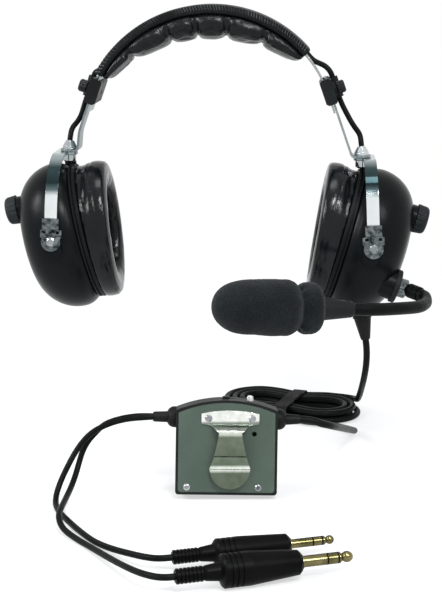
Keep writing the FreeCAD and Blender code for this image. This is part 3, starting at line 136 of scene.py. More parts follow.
def puffUp(obj, settings, held):
    # cloth with air in it, held along the seams, and no point goes further than mostMove
    start = [vert.co.copy() for vert in obj.data.vertices]
    group = obj.vertex_groups.new(name="held")
    group.add([i for i, co in enumerate(start) if held(co)], 1.0, "REPLACE")
    cloth = obj.modifiers.new("Cloth", "CLOTH")
    fabric = cloth.settings
    fabric.use_pressure = True
    fabric.uniform_pressure_force = settings["pressure"]
    fabric.mass = settings["mass"]
    fabric.quality = 6
    fabric.tension_stiffness = settings["stiff"]
    fabric.compression_stiffness = settings["stiff"]
    fabric.bending_stiffness = settings["bend"]
    fabric.shrink_min = settings["slack"]
    fabric.effector_weights.gravity = 0.0
    fabric.vertex_group_mass = "held"
    cloth.collision_settings.use_collision = False
    cloth.point_cache.frame_start = 1
    cloth.point_cache.frame_end = settings["frames"]
    for number in range(1, settings["frames"] + 1):
        scene.frame_set(number)
    pick(obj)
    bpy.ops.object.modifier_apply(modifier=cloth.name)
    scene.frame_set(1)
    obj.vertex_groups.clear()
    furthest = 0.0
    for vert, place in zip(obj.data.vertices, start):
        move = vert.co - place
        furthest = max(furthest, move.length)
        if move.length > settings["mostMove"]:
            vert.co = place + move * (settings["mostMove"] / move.length)
    print(f"{obj.name}: puffed up, {furthest * 1000:.1f} mm at most before the cap")


def turnedPlace(at, *turns):
    # a place in the headset from a point and turns in degrees about Z, Y, X in that order
    place = Matrix.Translation(at)
    for axis, degrees in turns:
        place = place @ Matrix.Rotation(math.radians(degrees), 4, axis)
    return place


# camera, set to the photograph's view
camera = {"at": (0.0544, -0.9858, 0.1650), "turn": (78.0, 0.0, 3.0), "lens": 88.8}
bpy.ops.object.camera_add(
    location=camera["at"], rotation=[math.radians(angle) for angle in camera["turn"]]
)
eye = bpy.context.object
eye.data.lens = camera["lens"]
eye.data.sensor_width = 36.0
eye.data.clip_end = 60.0
scene.camera = eye

tableHigh = -0.147
cupPlace = {
    "left": turnedPlace((0.1125, 0, -0.007), ("Y", 15.5)),
    "right": turnedPlace((-0.115, 0, -0.004), ("Z", 180), ("Y", 13.0)),
}
modulePlace = turnedPlace((0.0119, -0.1165, -0.143322), ("Z", 4), ("Y", 1), ("X", -9))
glandBack = 0.010  # how far back the glands are in the module

hank = {
    "centre": (0.051, 0.080), "turn": 72.0, "run": 0.050, "waist": 0.005,
    "stations": (-0.75, -0.2, 0.2, 0.75), "bendAngles": (22.5, 67.5, 112.5, 157.5),
    "upper": (0.0262, 0.0234, 0.0206, 0.0178, 0.0150, 0.0122),
    "lower": (0.0150, 0.0178, 0.0206, 0.0234, 0.0262, 0.0290),
    "upperHigh": -0.13865, "lowerHigh": -0.14380,
}
earLead = {
    "diameter": 0.0046, "length": 1.620,
    "down": [
        (0.1015, 0, -0.071), (0.1026, 0, -0.078), (0.1026, 0.0055, -0.091),
        (0.1018, 0.017, -0.1032), (0.1010, 0.032, -0.114), (0.1004, 0.050, -0.1245),
        (0.1000, 0.068, -0.1325),
    ],
    "toModule": [
        (0.0946, 0.0285, -0.1443), (0.0964, 0.017, -0.1414), (0.0936, 0.002, -0.1364),
        (0.0903, -0.015, -0.1307), (0.0874, -0.033, -0.1248), (0.0848, -0.050, -0.1191),
        (0.0822, -0.065, -0.1142), (0.0796, -0.0785, -0.1097), (0.0762, -0.0885, -0.1060),
        (0.0704, -0.0946, -0.1030),
    ],
    "glandAt": (0.0458, 0.0462), "glandReach": 0.0065,
    # into the hank: a bend by this many degrees, in steps this long, from this much higher
    "lastBend": -35.0, "inStep": 0.011, "inRise": 0.0011, "outStep": 0.012,
}
plugCords = {
    "diameter": 0.0037, "apart": 0.0021, "glandAt": (-0.0458, 0.0470), "straightEnd": 0.007,
    "paired": [
        (-0.0404, -0.1032, -0.0976), (-0.0486, -0.1038, -0.0982),
        (-0.0570, -0.1046, -0.0999), (-0.0650, -0.1056, -0.1028),
    ],
    "mic": {
        "side": -1, "length": 0.2235, "start": (-0.0117, -0.2300, -0.1393),
        "end": (0.0763, -0.1981, -0.1393),
        "route": [
            (-0.0717, -0.1086, -0.1065), (-0.0769, -0.1105, -0.1114), (-0.0811, -0.1128, -0.1171),
            (-0.0847, -0.1154, -0.1233), (-0.0881, -0.1188, -0.1301), (-0.0908, -0.1230, -0.1365),
            (-0.0922, -0.1285, -0.1422), (-0.0906, -0.1380, -0.1451), (-0.0850, -0.1515, -0.1451),
            (-0.0775, -0.1653, -0.1451), (-0.0684, -0.1811, -0.1451), (-0.0587, -0.1960, -0.1448),
            (-0.0475, -0.2095, -0.1432), (-0.0360, -0.2210, -0.1412), (-0.0265, -0.2290, -0.1399),
        ],
    },
    "phones": {
        "side": 1, "length": 0.2475, "start": (-0.0077, -0.2608, -0.1376),
        "end": (0.0850, -0.2272, -0.1376),
        "route": [
            (-0.0708, -0.1042, -0.1087), (-0.0752, -0.1058, -0.1136), (-0.0783, -0.1079, -0.1196),
            (-0.0801, -0.1110, -0.1262), (-0.0815, -0.1160, -0.1321), (-0.0830, -0.1248, -0.1369),
            (-0.0840, -0.1400, -0.1388), (-0.0840, -0.1550, -0.1384), (-0.0844, -0.1680, -0.1394),
            (-0.0804, -0.1788, -0.1434), (-0.0698, -0.1913, -0.1451), (-0.0584, -0.2066, -0.1443),
            (-0.0460, -0.2265, -0.1423), (-0.0345, -0.2445, -0.1399), (-0.0250, -0.2565, -0.1383),
        ],
    },
}


def onHank(along, across, high):
    turn = math.radians(hank["turn"])
    east = Vector((math.cos(turn), math.sin(turn), 0))
    axis = Vector((-math.sin(turn), math.cos(turn), 0))
    return Vector((*hank["centre"], high)) + axis * along + east * across


def hankPoints():
    # down through the hank: twelve runs, drawn in at the tie, with a loop after each but the last
    levels = [(level, hank["upperHigh"]) for level in hank["upper"]]
    levels += [(level, hank["lowerHigh"]) for level in hank["lower"]]
    half = hank["run"] / 2
    points = []
    for number, (level, high) in enumerate(levels):
        way = 1 if number % 2 == 0 else -1
        following = levels[min(number + 1, len(levels) - 1)]
        for share in hank["stations"]:
            across = level - (hank["waist"] if abs(share) < 0.5 else 0)
            points.append(onHank(way * half * share, way * across,
                                 high + (following[1] - high) * (share + 1) / 2))
        if number + 1 < len(levels):
            middle, radius = (level - following[0]) / 2, (level + following[0]) / 2
            reach = radius / math.cos(math.radians(hank["bendAngles"][0]))
            for degrees in hank["bendAngles"]:
                angle = math.radians(degrees)
                points.append(onHank(way * (half + reach * math.sin(angle)),
                                     way * (middle + reach * math.cos(angle)), following[1]))
    return points


def layCord(name, points, diameter):
    curve = bpy.data.curves.new(name, "CURVE")
    curve.dimensions = "3D"
    line = curve.splines.new("NURBS")
    line.points.add(len(points) - 1)
    for point, place in zip(line.points, points):
        point.co = (*place, 1.0)
        point.radius = diameter / 2
    line.order_u = 3
    line.use_endpoint_u = True
    curve.resolution_u = 6
    curve.bevel_depth = 1.0
    curve.bevel_resolution = 4
    curve.use_fill_caps = True
    obj = bpy.data.objects.new(name, curve)
    scene.collection.objects.link(obj)
    return obj


def atModule(x, y, z):
    return modulePlace @ Vector((x, y, z))


hankStart = onHank(-hank["run"] / 2, hank["upper"][0], hank["upperHigh"])
hankEnd = onHank(-hank["run"] / 2, -hank["lower"][-1], hank["lowerHigh"])
hankOut = onHank(-1, 0, 0) - onHank(0, 0, 0)
lastBend = Matrix.Rotation(math.radians(earLead["lastBend"]), 3, "Z") @ hankOut
near = hankStart + hankOut * earLead["inStep"]
before = near + lastBend * earLead["inStep"] + Vector((0, 0, earLead["inRise"]))
across, high = earLead["glandAt"]
leadPoints = earLead["down"] + [before, near, hankStart] + hankPoints()
leadPoints += [hankEnd, hankEnd + hankOut * earLead["outStep"]] + earLead["toModule"]
leadPoints += [atModule(across + earLead["glandReach"], glandBack, high)]
leadPoints += [atModule(across, glandBack, high)]
earCord = layCord("ear_cord", leadPoints, earLead["diameter"])
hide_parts("down_lead", "cord_hank", "module_lead")
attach(earCord, "left_cup")

thinCords = {}
for which in ("mic", "phones"):
    cord = plugCords[which]
    apart = cord["side"] * plugCords["apart"]
    start, end = Vector(cord["start"]), Vector(cord["end"])
    across, high = plugCords["glandAt"]
    leaves = atModule(across, glandBack, high) + modulePlace.to_3x3() @ Vector((0, apart, 0))
    points = [leaves] + [(x, y + apart, z) for x, y, z in plugCords["paired"]] + cord["route"]
    points += [start - (end - start).normalized() * plugCords["straightEnd"], start]
    piece = layCord(which + "_line", points, plugCords["diameter"])
    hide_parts(which + "_cord")
    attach(piece, "left_cup")
    thinCords[which] = piece
print("cords laid")


# the studio: a white wall to look at, a pale sky that lights, a sheet of paper and five lamps
light = {
    "skyColour": (0.93, 0.965, 1.0, 1), "skyStrength": 0.62,
    "floorSize": 3.2, "floorColour": (0.93, 0.94, 0.945, 1),
    "floorFade": (0.28, 0.85), "floorGlow": 0.58,  # pure white from the second distance on
    # name: at, aimed at, width, height, watts, colour
    "leftWindow": ((-1.05, -1.10, 0.85), (-0.05, 0, 0), 0.12, 0.50, 7.0, (1.0, 0.98, 0.96)),
    "rightWindow": ((1.00, -1.15, 1.00), (0.05, 0, 0), 0.14, 0.50, 7.0, (0.97, 0.985, 1.0)),
    "sideFlash": ((-1.30, -0.40, 0.75), (-0.10, 0, 0), 0.28, 0.42, 12.0, (0.98, 0.99, 1.0)),
    "keyFlash": ((0.34, -0.98, 0.98), (0.03, 0, 0.10), 0.34, 0.18, 12.0, (0.98, 0.99, 1.0)),
    "overhead": ((0.10, -0.35, 1.45), (0, 0, 0.05), 0.60, 0.40, 5.0, (1.0, 1.0, 1.0)),
}


def lamp(name):
    at, target, wide, tall, watts, colour = light[name]
    bpy.ops.object.light_add(type="AREA", location=at)
    obj = bpy.context.object
    obj.name = name
    obj.data.shape = "RECTANGLE"
    obj.data.size, obj.data.size_y = wide, tall
    obj.data.energy = watts
    obj.data.color = colour
    away = Vector(at) - Vector(target)
    obj.rotation_euler = away.to_track_quat("Z", "Y").to_euler()


def addNode(tree, kind, values=None):
    node = tree.nodes.new("ShaderNode" + kind)
    for key, value in (values or {}).items():
        node.inputs[key].default_value = value
    return node


def lookedAt(tree):
    # 1 where the camera, a polished face or a clear one sees this, 0 where it only lights
    path = addNode(tree, "LightPath")
    looked = path.outputs["Is Camera Ray"]
    for ray in ("Is Glossy Ray", "Is Transmission Ray"):
        either = addNode(tree, "Math")
        either.operation = "MAXIMUM"
        tree.links.new(looked, either.inputs[0])
        tree.links.new(path.outputs[ray], either.inputs[1])
        looked = either.outputs[0]
    return looked


world = bpy.data.worlds.new("studio")
scene.world = world
world.use_nodes = True
tree = world.node_tree
tree.nodes.clear()
softLight = addNode(tree, "Background", {"Color": light["skyColour"], "Strength": light["skyStrength"]})
whiteWall = addNode(tree, "Background", {"Color": (1, 1, 1, 1), "Strength": 1.0})
choose = addNode(tree, "MixShader")
out = addNode(tree, "OutputWorld")
wire = tree.links.new
wire(lookedAt(tree), choose.inputs["Fac"])
wire(softLight.outputs[0], choose.inputs[1])
wire(whiteWall.outputs[0], choose.inputs[2])
wire(choose.outputs[0], out.inputs["Surface"])

bpy.ops.mesh.primitive_plane_add(size=light["floorSize"], location=(0, 0, tableHigh - 0.00005))
floor = named("floor")
settle(floor)
paper = bpy.data.materials.new("white_paper")
paper.use_nodes = True
tree = paper.node_tree
tree.nodes.clear()
out = addNode(tree, "OutputMaterial")
matt = addNode(tree, "BsdfDiffuse", {"Color": light["floorColour"]})
glow = addNode(tree, "Emission", {"Color": (1, 1, 1, 1), "Strength": 1.0})
where = addNode(tree, "TexCoord")
far = addNode(tree, "VectorMath")
far.operation = "LENGTH"
first, last = light["floorFade"]
fade = addNode(tree, "MapRange", {"From Min": first, "From Max": last, "To Min": light["floorGlow"]})
share = addNode(tree, "Math")
share.operation = "MULTIPLY"
blend = addNode(tree, "MixShader")
wire = tree.links.new
wire(where.outputs["Object"], far.inputs[0])
wire(far.outputs["Value"], fade.inputs["Value"])
wire(lookedAt(tree), share.inputs[0])
wire(fade.outputs["Result"], share.inputs[1])
wire(share.outputs[0], blend.inputs["Fac"])
wire(matt.outputs[0], blend.inputs[1])
wire(glow.outputs[0], blend.inputs[2])
wire(blend.outputs[0], out.inputs["Surface"])
floor.data.materials.append(paper)
for name in ("leftWindow", "rightWindow", "sideFlash", "keyFlash", "overhead"):
    lamp(name)
scene.view_settings.view_transform = "Standard"
print("studio ready")


class Finish:
    # one node material, with the few joins that every finish here needs
    def __init__(self, name, look, metal=0.0):
        self.mat = bpy.data.materials.new(name)
        self.mat.use_nodes = True
        self.tree = self.mat.node_tree
        self.shader = self.tree.nodes["Principled BSDF"]
        self.look = look
        self.shader.inputs["Metallic"].default_value = look.get("metal", metal)
        self.shader.inputs["Specular IOR Level"].default_value = look.get("shine", 0.5)
        for key, value in look.get("shader", {}).items():
            self.shader.inputs[key].default_value = value
        self.where = self.make("TexCoord").outputs["Object"]
        self.relief = None
        if look.get("softEdge"):
            bevel = self.make("Bevel", {"Radius": look["softEdge"]})
            bevel.samples = 4
            self.relief = bevel.outputs["Normal"]

    def make(self, kind, values=None):
        return addNode(self.tree, kind, values)

    def join(self, a, b):
        self.tree.links.new(a, b)

    def stretched(self, scale, turn=(0, 0, 0)):
        turn = [math.radians(angle) for angle in turn]
        mapping = self.make("Mapping", {"Scale": scale, "Rotation": turn})
        self.join(self.where, mapping.inputs["Vector"])
        return mapping.outputs["Vector"]

    def cloud(self, scale, detail=4.0, where=None, rough=0.55):
        tex = self.make("TexNoise", {"Scale": scale, "Detail": detail, "Roughness": rough})
        self.join(where or self.where, tex.inputs["Vector"])
        return tex.outputs["Fac"]

    def cells(self, scale, feature="F1"):
        tex = self.make("TexVoronoi", {"Scale": scale})
        tex.feature = feature
        self.join(self.where, tex.inputs["Vector"])
        return tex.outputs["Distance"]

    def spread(self, value, low, high, start=0.3, stop=0.7):
        span = self.make("MapRange", {
            "From Min": start, "From Max": stop, "To Min": low, "To Max": high})
        self.join(value, span.inputs["Value"])
        return span.outputs["Result"]

    def mottle(self, scale, detail, start, stop):
        # the two tones of this finish in soft patches
        dark, pale = self.look["tones"]
        return self.tones(self.cloud(scale, detail), (start, dark), (stop, pale))

    def wear(self, scale, detail, rough=0.55):
        self.rough(self.spread(self.cloud(scale, detail, rough=rough), *self.look["rough"]))

    def tones(self, value, *stops):
        ramp = self.make("ValToRGB")
        steps = ramp.color_ramp.elements
        while len(steps) < len(stops):
            steps.new(0.5)
        for step, (place, colour) in zip(steps, stops):
            step.position = place
            step.color = (*colour, 1)
        self.join(value, ramp.inputs["Fac"])
        return ramp.outputs["Color"]

    def over(self, factor, below, above, kind="MIX"):
        mix = self.make("Mix")
        mix.data_type = "RGBA"
        mix.blend_type = kind
        for value, socket in ((factor, mix.inputs[0]), (below, mix.inputs[6]), (above, mix.inputs[7])):
            if isinstance(value, (int, float)):
                socket.default_value = value
            elif isinstance(value, tuple):
                socket.default_value = (*value, 1)
            else:
                self.join(value, socket)
        return mix.outputs[2]

    def colour(self, value):
        self.join(value, self.shader.inputs["Base Color"])

    def rough(self, value):
        self.join(value, self.shader.inputs["Roughness"])

    def emboss(self, height, deep, strength=1.0, sunk=False):
        bump = self.make("Bump", {"Distance": deep, "Strength": strength})
        bump.invert = sunk
        self.join(height, bump.inputs["Height"])
        if self.relief:
            self.join(self.relief, bump.inputs["Normal"])
        self.relief = bump.outputs["Normal"]

    def done(self):
        if self.relief:
            self.join(self.relief, self.shader.inputs["Normal"])
        return self.mat


def mouldedPlastic(name, look):
    # fine spark-eroded texture, faint flow marks and a little waviness
    skin = Finish(name, look)
    skin.colour(skin.mottle(38, 3, 0.3, 0.72))
    skin.wear(55, 5)
    skin.emboss(skin.cloud(look["grain"], 2, rough=0.7), look["grainDeep"], 0.6)
    if "wave" in look:
        skin.emboss(skin.cloud(24, 1), look["wave"], 0.5)
    return skin.done()


def platedSteel(name, look):
    # polished plate with a little orange peel, finger marks and a darker tint in places; on the pivot
    # clips and the boom swivel its near-black and pale patches are painted reflections
    skin = Finish(name, look, metal=1.0)
    skin.colour(skin.mottle(look.get("patches", 60), 4, 0.32, 0.66))
    skin.wear(140, 6, rough=0.65)
    skin.emboss(skin.cloud(160, 2), look["peel"], 0.5)
    return skin.done()


def paintedReflectionPlate(name, look):
    # the same plate with painted reflections: bright and dark stripes by height, for the stirrups and the
    # belt clip
    skin = Finish(name, look, metal=1.0)
    split = skin.make("SeparateXYZ")
    skin.join(skin.where, split.inputs[0])
    reflectionBands = skin.tones(skin.spread(split.outputs["Z"], 0.0, 1.0, *look["from"]), *look["reflectionBands"])
    plate = skin.mottle(look.get("patches", 60), 4, 0.32, 0.66)
    # the painted reflection stripes multiply the patchy plate
    skin.colour(skin.over(1.0, plate, reflectionBands, "MULTIPLY"))
    skin.wear(140, 6, rough=0.65)
    skin.emboss(skin.cloud(160, 2), look["peel"], 0.5)
    return skin.done()


def drawnSteel(name, look):
    # satin strip, brushed along its own length
    skin = Finish(name, look, metal=1.0)
    dark, pale = look["tones"]
    along = skin.stretched(look["brush"], look.get("turn", (0, 0, 0)))
    lines = skin.cloud(1.0, 3, along, rough=0.7)
    skin.colour(skin.tones(lines, (0.3, dark), (0.7, pale)))
    skin.rough(skin.spread(lines, *look["rough"]))
    skin.emboss(lines, look["deep"], 0.5)
    return skin.done()


def grainedLeather(name, look):
    # pebbled grain from two sizes of cells, with creases and polished tops
    skin = Finish(name, look)
    dark, pale = look["tones"]
    grain = skin.cells(look["grain"], "DISTANCE_TO_EDGE")
    fine = skin.cells(look["grain"] * 2.3, "DISTANCE_TO_EDGE")
    patch = skin.cloud(32, 4)
    skin.colour(skin.over(skin.spread(grain, 0.0, 1.0, 0.0, 0.25),
                          skin.tones(patch, (0.3, tuple(c * 0.6 for c in dark)), (0.7, dark)),
                          skin.tones(patch, (0.3, dark), (0.7, pale))))
    skin.wear(85, 4)
    skin.emboss(skin.spread(grain, 0.0, 1.0, 0.0, 0.2), look["deep"], 0.6)
    skin.emboss(skin.spread(fine, 0.0, 1.0, 0.0, 0.2), look["deep"] * 0.4, 0.5)
    if look.get("crease"):
        skin.emboss(skin.cloud(look["creaseScale"], 3, rough=0.4), look["crease"], 0.7)
    return skin.done()


def cableJacket(name, look):
    # extruded jacket: nearly smooth, with a faint pull and dusty patches
    skin = Finish(name, look)
    skin.colour(skin.mottle(70, 4, 0.35, 0.75))
    skin.wear(220, 3)
    skin.emboss(skin.cloud(480, 2), look["peel"], 0.5)
    return skin.done()


def openFoam(name, look):
    # cut foam: pale struts, and the pores between them painted dark, painted shade in the holes
    skin = Finish(name, look)
    dark, pale = look["tones"]
    pores = skin.cells(look["pore"])
    small = skin.cells(look["pore"] * 1.9)
    both = skin.over(0.45, skin.spread(pores, 1.0, 0.0, 0.15, 0.75),
                     skin.spread(small, 1.0, 0.0, 0.15, 0.75))
    # painted shade: dark in the pores, pale on the struts
    shade = skin.tones(both, (0.25, pale), (0.62, dark))
    skin.colour(skin.over(0.5, shade, skin.mottle(60, 3, 0.3, 0.7)))
    skin.wear(60, 3)
    skin.emboss(both, look["deep"], 0.9, sunk=True)
    skin.emboss(skin.cloud(260, 4), look["deep"] * 0.8, 0.6)
    return skin.done()


def satinPaint(name, look):
    # sprayed satin paint with a fine fleck
    skin = Finish(name, look)
    fleck = skin.cloud(1900, 2, rough=0.8)
    base = skin.mottle(30, 3, 0.3, 0.7)
    skin.colour(skin.over(skin.spread(fleck, 0.0, 0.4, 0.55, 0.75), base, look["fleck"]))
    skin.wear(90, 4)
    skin.emboss(fleck, look["grainDeep"], 0.5)
    return skin.done()


finishes = {
    "spring steel": drawnSteel("spring_steel", {
        "tones": ((0.30, 0.33, 0.33), (0.42, 0.45, 0.45)), "rough": (0.28, 0.42),
        "brush": (90, 900, 90), "deep": 0.00002, "softEdge": 0.0002}),
    # one steel in two copies: the left arm's is paler, painted light, and the right arm's darker, painted
    # shade
    "arm steel left painted light": drawnSteel("arm_steel_left_painted_light", {
        "tones": ((0.20, 0.24, 0.25), (0.34, 0.38, 0.39)), "rough": (0.26, 0.40),
        "brush": (1600, 1600, 60), "turn": (0, 19.5, 0), "deep": 0.00002, "softEdge": 0.0002}),
    "arm steel right painted shade": drawnSteel("arm_steel_right_painted_shade", {
        "tones": ((0.14, 0.17, 0.18), (0.26, 0.30, 0.31)), "rough": (0.26, 0.40),
        "brush": (1600, 1600, 60), "turn": (0, -19.5, 0), "deep": 0.00002, "softEdge": 0.0002}),
    "chrome": platedSteel("chrome_plate", {
        "tones": ((0.34, 0.38, 0.39), (0.60, 0.63, 0.64)), "rough": (0.05, 0.13),
        "peel": 0.00003, "softEdge": 0.0003}),
    # stirrups: a white stripe low down and a near-black stripe above it, both painted reflections
    "stirrup": paintedReflectionPlate("stirrup_plate_painted_reflections", {
        "tones": ((0.72, 0.76, 0.77), (0.84, 0.87, 0.88)), "rough": (0.06, 0.14),
        "from": (-0.002, 0.058), "reflectionBands": (
            (0.0, (0.20, 0.23, 0.24)), (0.22, (0.34, 0.38, 0.39)), (0.30, (1.0, 1.0, 1.0)),
            (0.57, (0.96, 0.98, 0.98)), (0.63, (0.16, 0.21, 0.22)), (0.70, (0.025, 0.045, 0.050)),
            (0.86, (0.05, 0.08, 0.085)), (0.93, (0.38, 0.43, 0.44))),
        "peel": 0.00003, "softEdge": 0.0003}),
    # pivot clips and boom swivel: a near-black plate with pale patches, painted reflections
    "clip chrome": platedSteel("clip_plate_painted_reflections", {
        "tones": ((0.008, 0.011, 0.011), (0.20, 0.23, 0.235)), "rough": (0.08, 0.2),
        "patches": 330, "peel": 0.00012, "softEdge": 0.00025}),
    "screw": platedSteel("plated_screws", {
        "tones": ((0.22, 0.24, 0.25), (0.46, 0.48, 0.49)), "rough": (0.14, 0.28),
        "peel": 0.00002, "softEdge": 0.00015}),
    # belt clip: the white plate above a dark tongue is painted reflection, and the narrow pale lines at
    # the crease and the neck are painted highlights
    "belt clip": paintedReflectionPlate("clip_steel", {
        "tones": ((0.74, 0.79, 0.72), (1.0, 1.0, 0.98)), "rough": (0.10, 0.24),
        "from": (-0.143, -0.085), "reflectionBands": (
            (0.0, (0.14, 0.17, 0.13)), (0.245, (0.15, 0.18, 0.14)), (0.275, (0.85, 0.87, 0.83)),
            (0.305, (0.80, 0.82, 0.78)), (0.335, (0.15, 0.18, 0.14)), (0.64, (0.19, 0.22, 0.17)),
            (0.675, (0.85, 0.86, 0.84)), (0.705, (0.80, 0.82, 0.79)), (0.73, (0.22, 0.26, 0.22)),
            (0.765, (0.32, 0.36, 0.32)), (0.785, (1.0, 1.0, 1.0))),
        "patches": 190, "peel": 0.00005, "softEdge": 0.0002}),
    "dome": mouldedPlastic("dome_plastic", {
        "tones": ((0.0015, 0.0022, 0.0025), (0.0035, 0.0048, 0.0052)), "rough": (0.24, 0.32),
        "grain": 2400, "grainDeep": 0.00003, "wave": 0.0002, "softEdge": 0.0003,
        "shine": 0.085}),
    "baffle": mouldedPlastic("baffle_plastic", {
        "tones": ((0.0035, 0.0040, 0.0045), (0.0070, 0.0080, 0.0085)), "rough": (0.40, 0.55),
        "grain": 1800, "grainDeep": 0.00004, "softEdge": 0.0003,
        "shine": 0.08}),
    "knob": mouldedPlastic("knob_plastic", {
        "tones": ((0.010, 0.012, 0.013), (0.020, 0.023, 0.024)), "rough": (0.48, 0.62),
        "grain": 2600, "grainDeep": 0.00004, "softEdge": 0.00025,
        "shine": 0.10}),
    "bracket": mouldedPlastic("bracket_paint", {
        "tones": ((0.0045, 0.0055, 0.0060), (0.0090, 0.0105, 0.0110)), "rough": (0.34, 0.50),
        "grain": 1500, "grainDeep": 0.00004, "softEdge": 0.00035,
        "shine": 0.10}),
    "thumb screw": mouldedPlastic("thumb_screw_plastic", {
        "tones": ((0.006, 0.007, 0.008), (0.012, 0.014, 0.015)), "rough": (0.22, 0.36),
        "grain": 2600, "grainDeep": 0.00002, "softEdge": 0.0003,
        "shine": 0.18}),
    "shell": mouldedPlastic("shell_plastic", {
        "tones": ((0.007, 0.008, 0.008), (0.012, 0.013, 0.013)), "rough": (0.42, 0.56),
        "grain": 1700, "grainDeep": 0.00005, "softEdge": 0.0004,
        "shine": 0.10}),
    "switch": mouldedPlastic("switch_plastic", {
        "tones": ((0.010, 0.010, 0.011), (0.02, 0.02, 0.021)), "rough": (0.35, 0.5),
        "grain": 2400, "grainDeep": 0.00003, "softEdge": 0.0002,
        "shine": 0.15}),
    "mic plastic": mouldedPlastic("mic_plastic", {
        "tones": ((0.006, 0.007, 0.008), (0.011, 0.012, 0.013)), "rough": (0.40, 0.56),
        "grain": 2200, "grainDeep": 0.00004, "softEdge": 0.0003,
        "shine": 0.09}),
    "plug grip": mouldedPlastic("plug_grip", {
        "tones": ((0.0012, 0.0012, 0.0012), (0.0026, 0.0026, 0.0026)), "rough": (0.30, 0.44),
        "grain": 2200, "grainDeep": 0.00003, "softEdge": 0.00025,
        "shine": 0.045}),
    "speaker": mouldedPlastic("speaker_paper", {
        "tones": ((0.02, 0.02, 0.02), (0.04, 0.038, 0.036)), "rough": (0.6, 0.8),
        "grain": 1500, "grainDeep": 0.00006, "shine": 0.3}),
    "boom": cableJacket("boom_sleeve", {
        "tones": ((0.0018, 0.0024, 0.0024), (0.0040, 0.0048, 0.0048)), "rough": (0.36, 0.52),
        "peel": 0.00005, "shine": 0.06}),
    "cable": cableJacket("cable_jacket", {
        "tones": ((0.0030, 0.0035, 0.0035), (0.0070, 0.0080, 0.0080)), "rough": (0.30, 0.46),
        "peel": 0.00003, "shine": 0.05}),
    "boot": cableJacket("boot_rubber", {
        "tones": ((0.005, 0.005, 0.005), (0.010, 0.010, 0.010)), "rough": (0.40, 0.55),
        "peel": 0.00004, "softEdge": 0.0002, "shine": 0.10}),
    "strap": grainedLeather("tie_strap", {
        "tones": ((0.010, 0.010, 0.010), (0.018, 0.018, 0.018)), "rough": (0.55, 0.75),
        "grain": 1600, "deep": 0.0001, "shine": 0.10}),
    "cover leather": grainedLeather("cover_leather", {
        "tones": ((0.0035, 0.0040, 0.0045), (0.0085, 0.0100, 0.0105)), "rough": (0.36, 0.52),
        "grain": 800, "deep": 0.00012, "shine": 0.07}),
    "cushion leather": grainedLeather("cushion_leather", {
        "tones": ((0.0030, 0.0038, 0.0045), (0.0065, 0.0080, 0.0088)), "rough": (0.20, 0.30),
        "grain": 1500, "deep": 0.00002, "crease": 0.00012, "creaseScale": 70,
        "shine": 0.17}),
    "seal vinyl": grainedLeather("seal_vinyl", {
        "tones": ((0.0028, 0.0035, 0.0042), (0.0058, 0.0072, 0.0080)), "rough": (0.10, 0.18),
        "grain": 1900, "deep": 0.00001, "crease": 0.00012, "creaseScale": 45,
        "shine": 0.20}),
    "foam": openFoam("windscreen_foam", {
        "tones": ((0.0015, 0.0020, 0.0025), (0.0110, 0.0140, 0.0150)), "rough": (0.85, 1.0),
        "pore": 1150, "deep": 0.0004,
        "shader": {"Specular IOR Level": 0.05, "Sheen Weight": 0.08, "Sheen Roughness": 0.5}}),
    "liner": openFoam("liner_foam", {
        "tones": ((0.010, 0.011, 0.012), (0.038, 0.042, 0.044)), "rough": (0.85, 1.0),
        "pore": 900, "deep": 0.0003, "shine": 0.12}),
    "module paint": satinPaint("module_paint", {
        "tones": ((0.034, 0.055, 0.041), (0.052, 0.078, 0.059)), "rough": (0.38, 0.50),
        "fleck": (0.12, 0.15, 0.125), "grainDeep": 0.00003, "softEdge": 0.0004,
        "metal": 0.15}),
    "gold": platedSteel("gold_contacts", {
        "tones": ((0.075, 0.068, 0.026), (0.24, 0.21, 0.10)), "rough": (0.12, 0.24),
        "peel": 0.00002, "softEdge": 0.0002}),
    "can": platedSteel("plated_can", {
        "tones": ((0.38, 0.39, 0.40), (0.52, 0.53, 0.54)), "rough": (0.2, 0.36),
        "peel": 0.00002}),
    "cell": satinPaint("cell_sleeve", {
        "tones": ((0.28, 0.20, 0.06), (0.36, 0.27, 0.09)), "rough": (0.25, 0.36),
        "fleck": (0.45, 0.36, 0.15), "grainDeep": 0.00001, "metal": 0.4}),
}


def boardFinish(name, look):
    # solder mask with copper lines showing through, and the pale lamp above the module's top
    skin = Finish(name, look)
    lines = skin.cells(260, "DISTANCE_TO_EDGE")
    mask = skin.over(skin.spread(lines, 1.0, 0.0, 0.02, 0.05), look["mask"], look["copper"])
    split = skin.make("SeparateXYZ")
    skin.join(skin.where, split.inputs[0])
    skin.colour(skin.over(skin.spread(split.outputs["Z"], 0.0, 1.0, *look["lampFrom"]),
                          mask, look["lamp"]))
    skin.rough(skin.spread(skin.cloud(120, 3), 0.25, 0.4))
    skin.emboss(lines, 0.00004, 0.4)
    return skin.done()


finishes["board"] = boardFinish("board_mask", {
    "mask": (0.02, 0.10, 0.045), "copper": (0.10, 0.20, 0.08), "lamp": (0.72, 0.73, 0.71),
    "lampFrom": (-0.0950, -0.0945)})

